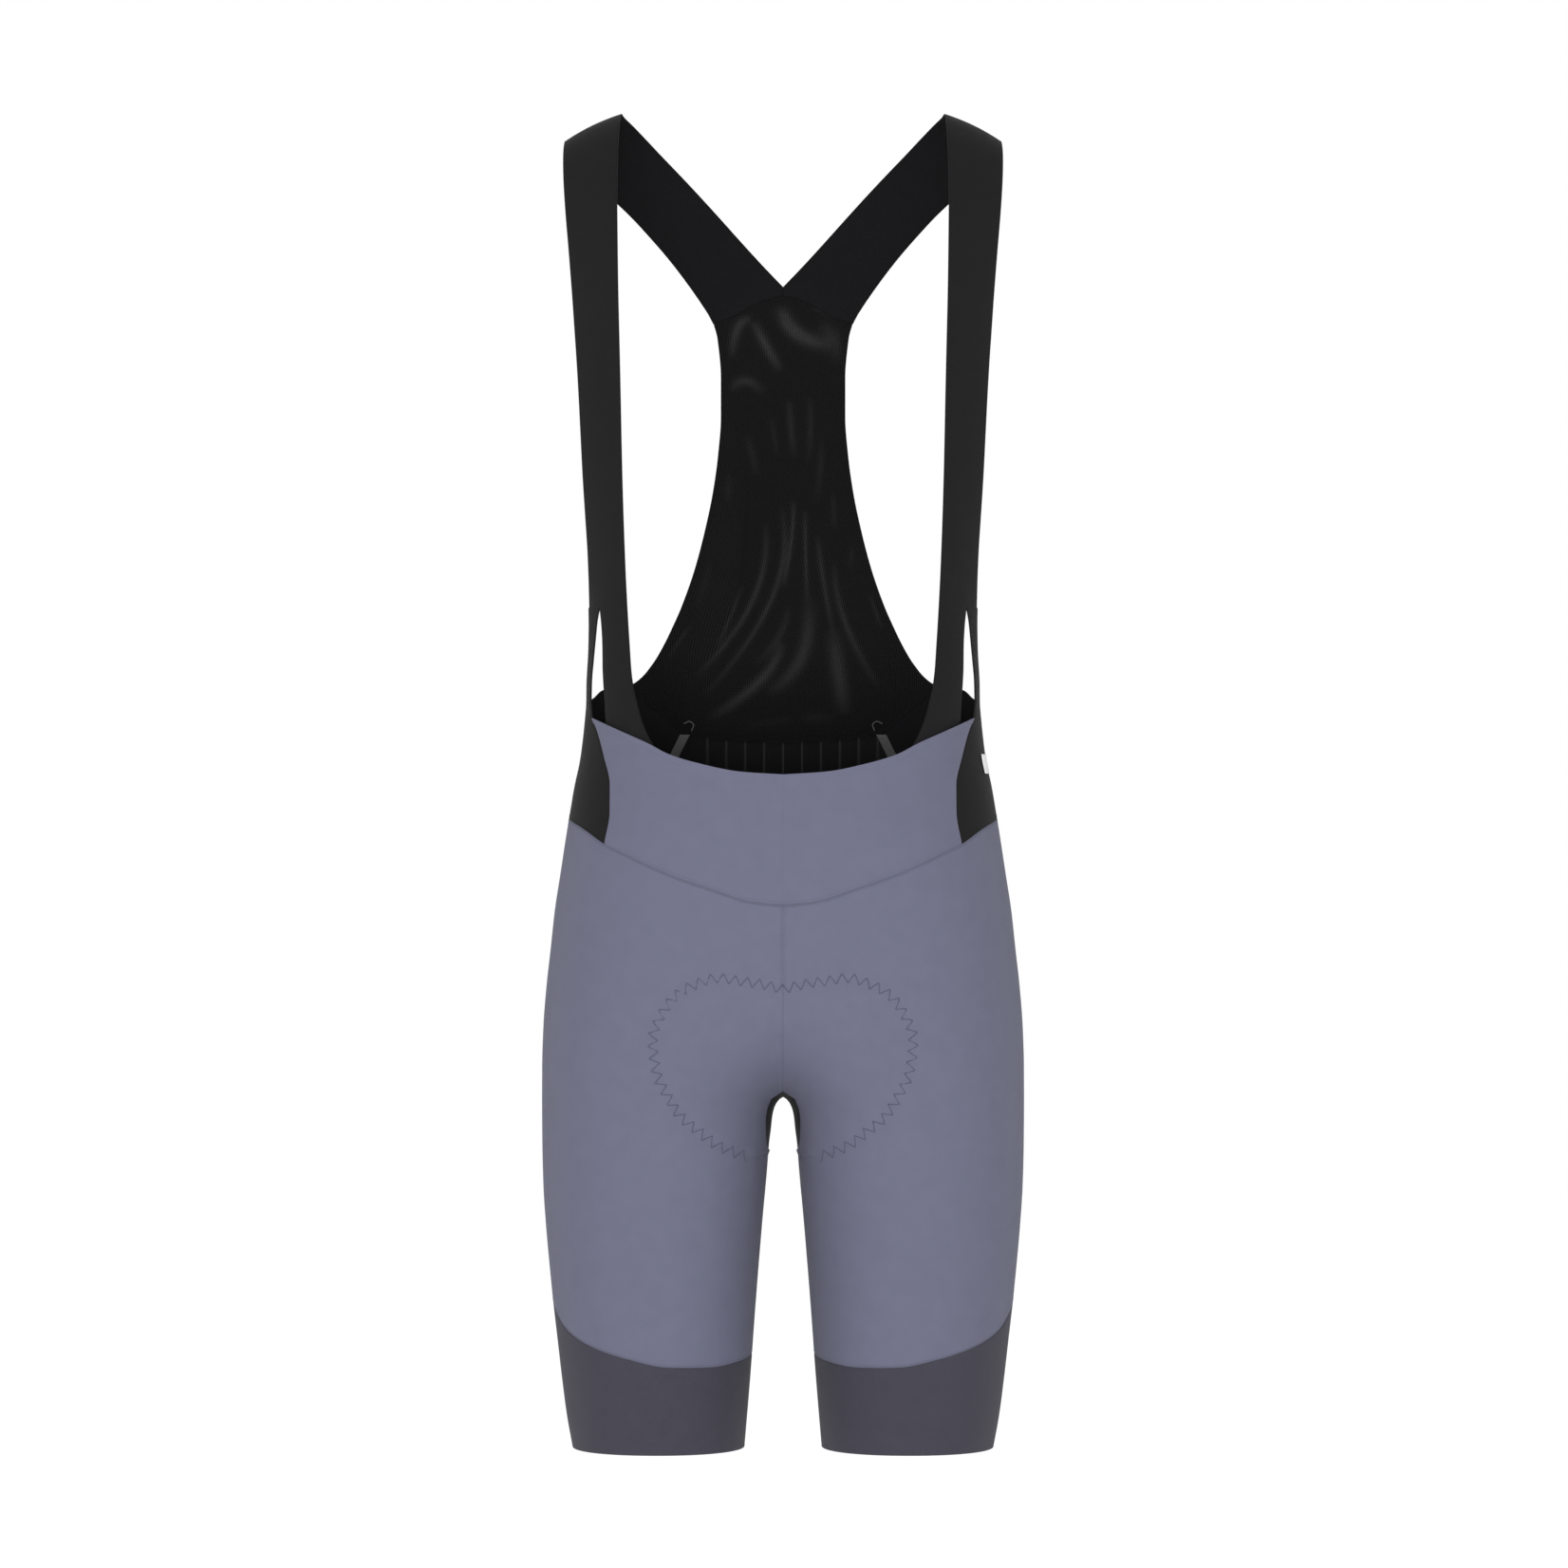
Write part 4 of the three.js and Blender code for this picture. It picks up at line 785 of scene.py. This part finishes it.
joint = np.linspace((slit_line[-1, 0], -411.5), (13, -399.5), STRAP_COLUMNS[1] + 1)
branch_u, branch_v = np.linspace(0, 1, STRAP_COLUMNS[1] + 1), np.linspace(0, 1, 40)
branch_points, branch_chart = panel(
    slit_chart[STRAP_COLUMNS[0]:], spread(arm_line, branch_v), joint, spread(slit_line, branch_v),
    branch_u, branch_v,
)
foot_s = np.linspace(13, ARMHOLE_FOOT["s"][3], 200)
foot_line = np.stack([foot_s, read(ARMHOLE_FOOT, "s", "z", foot_s)], -1)
foot_line[-1] = on_back(np.array([112.0]), -388.5)[0]
mesh_foot_x = np.linspace(112, 69.5, 200)
mesh_seam = on_back(mesh_foot_x, read(MESH_FOOT, "x", "z", mesh_foot_x))
tape_end = on_back(TAPE_LINE["x"][-1:], TAPE_LINE["z"][-1])[0, 0]
tape_foot = np.array([tape_end, read(SEAT_FALL, "s", "z", tape_end)])
tape_z = np.linspace(-421, -466, 200)
tape_line = on_back(read(TAPE_LINE, "z", "x", tape_z), tape_z)
tape_line[-1] = tape_foot
side_v = ease(40)
side_top = np.concatenate([
    joint, spread(foot_line, np.linspace(0, 1, 15))[1:], spread(mesh_seam, np.linspace(0, 1, 21))[1:],
])
side_u = np.linspace(0, 1, len(side_top))
side_bottom = seat_line(yoke_side[-1, 0], tape_foot[0])
side_points, side_chart = panel(
    side_top, spread(tape_line, side_v), spread(side_bottom, side_u), spread(yoke_side, side_v),
    side_u, side_v,
)
side_points[0, : STRAP_COLUMNS[1] + 1] = branch_points[-1]

tongue_z = np.linspace(slit_top, INNER_BRANCH["z"][-1], 48)
tongue_from = on_front(read(INNER_BRANCH, "z", "inner", tongue_z), tongue_z)[:, 0]
tongue_to = on_front(read(INNER_BRANCH, "z", "outer", tongue_z), tongue_z)[:, 0]
tongue_u = np.linspace(0, 1, STRAP_COLUMNS[0] + 1)
tongue_s = tongue_from[:, None] + (tongue_to - tongue_from)[:, None] * tongue_u
tongue_chart = np.stack([tongue_s, np.broadcast_to(tongue_z[:, None], tongue_s.shape)], -1)
tongue_points = skin(tongue_chart[..., 0], tongue_chart[..., 1])
tongue_sink = read(INNER_BRANCH, "z", "inside", tongue_z)[:, None]
tongue_points = raised(tongue_points, -np.broadcast_to(tongue_sink, tongue_s.shape))
tongue_points[0] = slit_points[: STRAP_COLUMNS[0] + 1]

chest_z = np.array([-121, -145, -170, -195, -220, -245, -270, -295, -315.0])
chest = [on_front(read(STRAP, "z", side, chest_z), chest_z) for side in ("inner", "outer")]
over_shoulder = [np.stack([SHOULDER[side + axis][::-1] for axis in "xyz"], -1) for side in "io"]
inner_route, outer_route = (
    np.concatenate([above, skin(line[:, 0], line[:, 1])]) for above, line in zip(over_shoulder, chest)
)
ribbon_t = np.linspace(0, 1, 190)
inner_edge, outer_edge = curve_through(inner_route, ribbon_t), curve_through(outer_route, ribbon_t)
ribbon = inner_edge[:, None] + (outer_edge - inner_edge)[:, None] * shares[None, :, None]
ribbon = raised(ribbon, np.broadcast_to(BOW * 4 * shares * (1 - shares), ribbon.shape[:2]))
arc_x = np.linspace(0, 49.5, 200)
arc_line = np.stack([arc_x, read(MESH_ARC, "x", "z", arc_x)], -1)
end_line = np.concatenate([[[0, -104.5]], arc_line - (0, 0.8)])
end_length = along(end_line)
end_at = shares * end_length[-1]
end_line = np.stack([np.interp(end_at, end_length, end_line[:, k]) for k in (0, 1)], -1)
end_chart = on_back(end_line[:, 0], end_line[:, 1])
end_points = skin(end_chart[:, 0], end_chart[:, 1])
end_points[:, 0] -= 0.5 * np.exp(-end_points[:, 0])
neck = blend(end_points, ribbon[0], np.linspace(0, 1, 8)[:-1])
chest_end = blend(ribbon[-1], slit_points, np.linspace(0, 1, 12)[1:])
ribbon = np.concatenate([neck, ribbon, chest_end])
ribbon_length = along(ribbon[:, len(shares) // 2])
ribbon_chart = np.stack(np.broadcast_arrays(shares[None, :] * 36, ribbon_length[:, None]), -1)
strap_grids = [
    (ribbon, ribbon_chart), (tongue_points, tongue_chart), (branch_points, branch_chart),
    (side_points, side_chart),
]
for name, grids in (("right", strap_grids), ("left", [other_side(*grid) for grid in strap_grids])):
    strap = sew("shoulder_strap_" + name, grids, strap_knit, inside=strap_inside_painted_shade)
    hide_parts("strap_" + name)

# Back mesh: a light, open net down the middle of the back, seen through the front opening. It is
# held by the straps above and the waist below, and hangs in long soft folds between them.
MESH_EDGE = table(
    "z x", (-129.8, 49.5), (-141, 46.6), (-169, 44.2), (-196, 44.2), (-223, 46.2), (-250, 49.9),
    (-278, 55.7),
    (-305, 62.7), (-332, 72), (-345, 77.6), (-359, 84.2), (-373, 92.4), (-386, 104.5), (-388.5, 112),
)
MESH_FOLDS = table(
    "x0 z0 x1 z1 x2 z2 height width",
    (-1, -114.5, 8, -135, 35, -146, 2.6, 5.2), (20, -118.5, 28, -121, 36, -126, 1.6, 1.8),
    (-37, -156, -32, -132.5, -21.5, -127.5, 2, 3.6), (-21.5, -128, -12.5, -145, -1, -164, 2.2, 3.6),
    (-38, -178, -27, -170.5, -13.5, -179, 1.5, 3.6), (24, -131, 36, -141, 39, -160, 1.2, 6),
    (-26.5, -208, -22, -222, -19, -238, 0.8, 3), (-9, -196, -6.5, -207.5, -4.5, -224, 0.7, 2.2),
    (4.5, -183, 5.5, -202, 8, -225.5, 1.2, 2.6), (18.5, -180.5, 19.5, -202, 18, -229, 0.9, 2.4),
    (27, -211, 26.5, -231, 24, -258, 0.7, 2.6), (36, -250, 36, -262.5, 36.5, -277, 0.8, 2),
    (-38, -235.5, -39, -247, -38, -259, 0.6, 3), (49.5, -286, 48.5, -296, 47.5, -307, 0.6, 2.4),
    (-12.5, -270.5, -22, -327.5, -63, -381.5, 1.8, 2.4), (-2, -258, -7.5, -324, -56, -393.5, 1.7, 2.3),
    (7, -254.5, 6, -282.5, 0, -318.5, 2.2, 2), (15.5, -261.5, 16, -294, 17, -327.5, 1.9, 1.9),
    (17, -322, 13.5, -365.5, -12.5, -392.5, 1.7, 5), (24.5, -279.5, 28.5, -312, 36, -352, 1.6, 2.3),
    (35, -346, 39, -377, 43.5, -408, 1.7, 5.6), (36.5, -298.5, 43.5, -341, 68.5, -389, 1.5, 2.6),
    (-1, -354.5, -14.5, -381.5, -52.5, -410.5, 2, 3.8), (-29, -315, -37, -337.5, -48, -361, 1.3, 1.8),
    (-82, -369, -73.5, -355.5, -65, -343, 1, 1.8), (61.5, -321, 65.5, -334, 71, -348, 1.3, 1.6),
    (-30, -415.5, -12.5, -414, 9, -410, 0.9, 3), (11, -411, 23.5, -410, 37, -411, 0.8, 4),
    (-52, -296, -56, -316, -63, -334, 0.5, 3), (4, -330, -3, -352, -20, -372, 1, 3),
)


# The net's lighter colour is painted highlight, for the light on its fold ridges.
net = knit(
    "black_mesh", (0.0031, 0.0031, 0.0032), wale=1.6, depth=0.0003, roughness=0.45, sheen=0.008,
    gloss=0.05, course=1.1, shade=0.3, highlight_and_line_colour=(0.0165, 0.0165, 0.017),
)
mesh_u, mesh_v = ease(88, 0.4), ease(205, 0.4)
edge_z = np.linspace(-129.8, -388.5, 300)
waist_x = np.linspace(0, 69.5, 200)
waist_seam = on_back(waist_x, read(MESH_FOOT, "x", "z", waist_x))
near, far = ease(58, 0.3), ease(30, 0.3)
mesh_bottom = np.concatenate([spread(waist_seam, near), spread(mesh_seam[::-1], far)[1:]])
mesh_points, mesh_chart = panel(
    spread(on_back(arc_x, arc_line[:, 1]), mesh_u),
    spread(on_back(read(MESH_EDGE, "z", "x", edge_z), edge_z), mesh_v),
    mesh_bottom,
    spread(centre(np.linspace(-110.5, -428, 200), "back"), mesh_v),
    mesh_u, mesh_v,
)
mesh_points, mesh_chart = both_halves(mesh_points, mesh_chart)
fade = np.clip(np.minimum((-112 - mesh_points[..., 2]) / 10, (mesh_points[..., 2] + 418) / 12), 0, 1)
to_edge = np.minimum(edge_distance(mesh_points, "left"), edge_distance(mesh_points, "right"))
fade = fade * (0.3 + 0.7 * np.clip(to_edge / 9, 0, 1))
mesh_lift = folds(mesh_points, MESH_FOLDS) * fade
mesh_points = raised(mesh_points, mesh_lift - roll(mesh_points, ("top", "bottom")))
# Painted highlight: the net is lighter along its fold ridges, by how far each fold lifts it.
mesh_fold_highlight = np.clip(mesh_lift / 2.1, 0, 1) ** 1.3
back_mesh = sew("back_mesh_net", [(mesh_points, mesh_chart)], net, 0.6, highlight_and_lines=mesh_fold_highlight)
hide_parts("back_mesh")

# Back of the waist: a low band of ribbed elastic under the mesh, sewn to the side panels and seat.
RIB_PITCH = 13.4
elastic = knit(
    "waist_elastic", (0.0058, 0.0056, 0.0061), roughness=0.6, sheen=0.01, gloss=0.04,
    highlight_and_line_colour=(0.026, 0.025, 0.026),
)
waist_u, waist_v = ease(240, 0), ease(20)
waist_points, waist_chart = panel(
    spread(waist_seam, waist_u),
    spread(tape_line, waist_v),
    spread(seat_line(section(-465.0)["s"][0, -1], tape_foot[0]), waist_u),
    spread(centre(np.linspace(-428, -465, 200), "back"), waist_v),
    waist_u, waist_v,
)
waist_points, waist_chart = both_halves(waist_points, waist_chart)
rib = 0.5 * np.maximum(np.cos(2 * np.pi * waist_points[..., 0] / RIB_PITCH), 0)
waist_points = raised(waist_points, rib - roll(waist_points, ("top", "right", "bottom", "left")))
off_line = (waist_points[..., 0] + RIB_PITCH / 2) % RIB_PITCH - RIB_PITCH / 2
shown = (waist_points[..., 0] > -60) & (waist_points[..., 0] < 73)
waist_marks = np.exp(-((off_line / 0.55) ** 2)) * shown
waist = sew("back_waist_band", [(waist_points, waist_chart)], elastic, highlight_and_lines=waist_marks)
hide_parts("back_waist")

# Seam tapes: a strip of smooth grey tape over each seam between the back waist and a side panel. It
# is bonded on the inside, and shows through the front opening.
grey = knit("seam_tape", (0.056, 0.056, 0.058), wale=0.8, sheen=0.02)
tape = spread(tape_line, np.linspace(0, 1, 24))[:-4]
tape_side = np.linspace(-3.7, 3.7, 7)
tape_s = tape[:, :1] + tape_side[None, :]
tape_chart = np.stack([tape_s, np.broadcast_to(tape[:, 1:] - 1, tape_s.shape)], -1)
tape_points = skin(tape_chart[..., 0], tape_chart[..., 1])
tape_points = raised(tape_points, np.full(tape_s.shape, -1.3))
for name, grid in (("right", (tape_points, tape_chart)), ("left", other_side(tape_points, tape_chart))):
    piece = sew("waist_seam_tape_" + name, [grid], grey, 0.5)
    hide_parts("seam_tape_" + name)

# Bar tacks: a short curl of grey thread over the upper end of each tape, sewn through the waist and
# the mesh to hold the end down.
tack_points = smooth_line(np.array([(-70.5, -414.5), (-66.5, -412.8), (-63.6, -415), (-65, -419.5)]), 20)
tack_s = crossing(tack_points[:, 1], 2, 4, "x", -tack_points[:, 0])
tack = skin(tack_s, tack_points[:, 1]) - 1.1 * normal_at(tack_s, tack_points[:, 1])
tubes("tape_tack", np.stack([tack, tack * (-1, 1, 1)]), 0.45, grey)

# Side patch: a small plain piece of light film, bonded on the side panel at the viewer's right just
# below the waistband's corner.
film = knit("patch_film", (0.62, 0.62, 0.63), wale=0.7)
patch_s, patch_z = np.meshgrid(np.linspace(-29, -12, 16), np.linspace(-436.5, -450, 12))
patch_chart = np.stack([patch_s, patch_z], -1)
patch_points = raised(skin(patch_s, patch_z), np.full(patch_s.shape, 1.1))
patch = sew("side_patch_film", [(patch_points, patch_chart)], film, 0.4)
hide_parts("side_patch")

# Seam stitches: two rows of short stitches, one on each side of a seam, through both cloths. The
# threads have the cloth's own colour, slate on the slate panels and black on the black ones.


def stitches(line, aside, pitch=2.8):
    """Arched stitches along a seam line of the chart (girth, height), as an array (count, 5, 3). They
    are aside millimetres to its left, and 0.18 sin(pi t) - 0.1 above the cloth at t of their length."""
    length = along(skin(line[:, 0], line[:, 1]))
    t = np.linspace(0, 1, 5)
    at = (np.arange(int(length[-1] / pitch))[:, None] + 0.14 + 0.72 * t) * pitch
    near, far = (
        np.stack([np.interp(at + step, length, line[:, k]) for k in (0, 1)], -1) for step in (-0.3, 0.3)
    )
    middle = (near + far) / 2
    ahead = skin(far[..., 0], far[..., 1]) - skin(near[..., 0], near[..., 1])
    normal = normal_at(middle[..., 0], middle[..., 1])
    side = np.cross(normal, ahead)
    side = side / np.maximum(np.linalg.norm(side, axis=2, keepdims=True), 1e-9)
    lift = SHELL / 2 + 0.18 * np.sin(np.pi * t) - 0.1
    return skin(middle[..., 0], middle[..., 1]) + side * aside + normal * lift[:, None]


def rows_beside(line, *sides):
    """Rows of stitches beside a seam on both halves of the garment."""
    rows = np.concatenate([stitches(line, side) for side in sides])
    return np.concatenate([rows, rows * (-1, 1, 1)])


tone = knit("slate_stitch", (0.09, 0.0925, 0.134), wale=0.25, depth=0.00005)
slate_rows = [
    rows_beside(yoke_seam, 1.5, -1.5),
    rows_beside(centre(np.linspace(-541, -666, 100), "front"), 1.5),
    rows_beside(seat_line(-80.6, tape_foot[0]), -1.5),
    rows_beside(thigh_side(seat_z, outer_foot), 1.5, -1.5),
    rows_beside(band_top(np.linspace(0, 1, 200)), 1.5),
    rows_beside(centre(np.linspace(-467, -647, 100), "back"), -1.5),
]
tubes("slate_stitches", np.concatenate(slate_rows), 0.13, tone, 4)
black_rows = [
    rows_beside(seat_line(-80.6, tape_foot[0]), 1.5),
    rows_beside(waist_seam, 1.5, -1.5),
    rows_beside(mesh_seam, 1.5, -1.5),
    rows_beside(tape_line, 1.5, -1.5),
]
tubes("black_stitches", np.concatenate(black_rows), 0.13, strap_knit, 4)

# Plain white floor and soft studio light from the front, with the camera at the photograph's angle.
floor_mesh = bpy.data.meshes.new("floor")
floor_mesh.from_pydata([(-8, -8, -1.25), (8, -8, -1.25), (8, 8, -1.25), (-8, 8, -1.25)], [], [(0, 1, 2, 3)])
floor = bpy.data.objects.new("floor", floor_mesh)
bpy.context.scene.collection.objects.link(floor)
paint = bpy.data.materials.new("floor_paint")
paint.use_nodes = True
paint.node_tree.nodes["Principled BSDF"].inputs["Base Color"].default_value = (0.9, 0.9, 0.9, 1)
paint.node_tree.nodes["Principled BSDF"].inputs["Roughness"].default_value = 0.9
paint.node_tree.nodes["Principled BSDF"].inputs["Emission Color"].default_value = (1, 1, 1, 1)
paint.node_tree.nodes["Principled BSDF"].inputs["Emission Strength"].default_value = 0.12
floor_mesh.materials.append(paint)

world = bpy.data.worlds.new("studio")
world.use_nodes = True
world.node_tree.nodes["Background"].inputs["Color"].default_value = (1, 1, 1, 1)
world.node_tree.nodes["Background"].inputs["Strength"].default_value = 1.0
bpy.context.scene.world = world
bpy.context.scene.view_settings.view_transform = "Standard"

for name, place, size, power in (
    ("key", (-0.7, -4.2, -0.3), 1.6, 98),
    ("fill", (0.7, -4.2, -1.0), 1.6, 84),
):
    light = bpy.data.lights.new(name, "AREA")
    light.size = size
    light.energy = power
    lamp = bpy.data.objects.new(name, light)
    lamp.location = place
    away = np.array(place) - (0, 0, -0.45)
    lamp.rotation_euler = (np.arccos(away[2] / np.linalg.norm(away)), 0, np.arctan2(away[0], -away[1]))
    bpy.context.scene.collection.objects.link(lamp)

lens = bpy.data.cameras.new("camera")
lens.lens = 148.6
lens.sensor_width = 36
camera = bpy.data.objects.new("camera", lens)
camera.location = (0.00066, -4.5, -0.457)
camera.rotation_euler = (np.pi / 2, 0, 0)
bpy.context.scene.collection.objects.link(camera)
bpy.context.scene.camera = camera

bpy.context.view_layer.update()
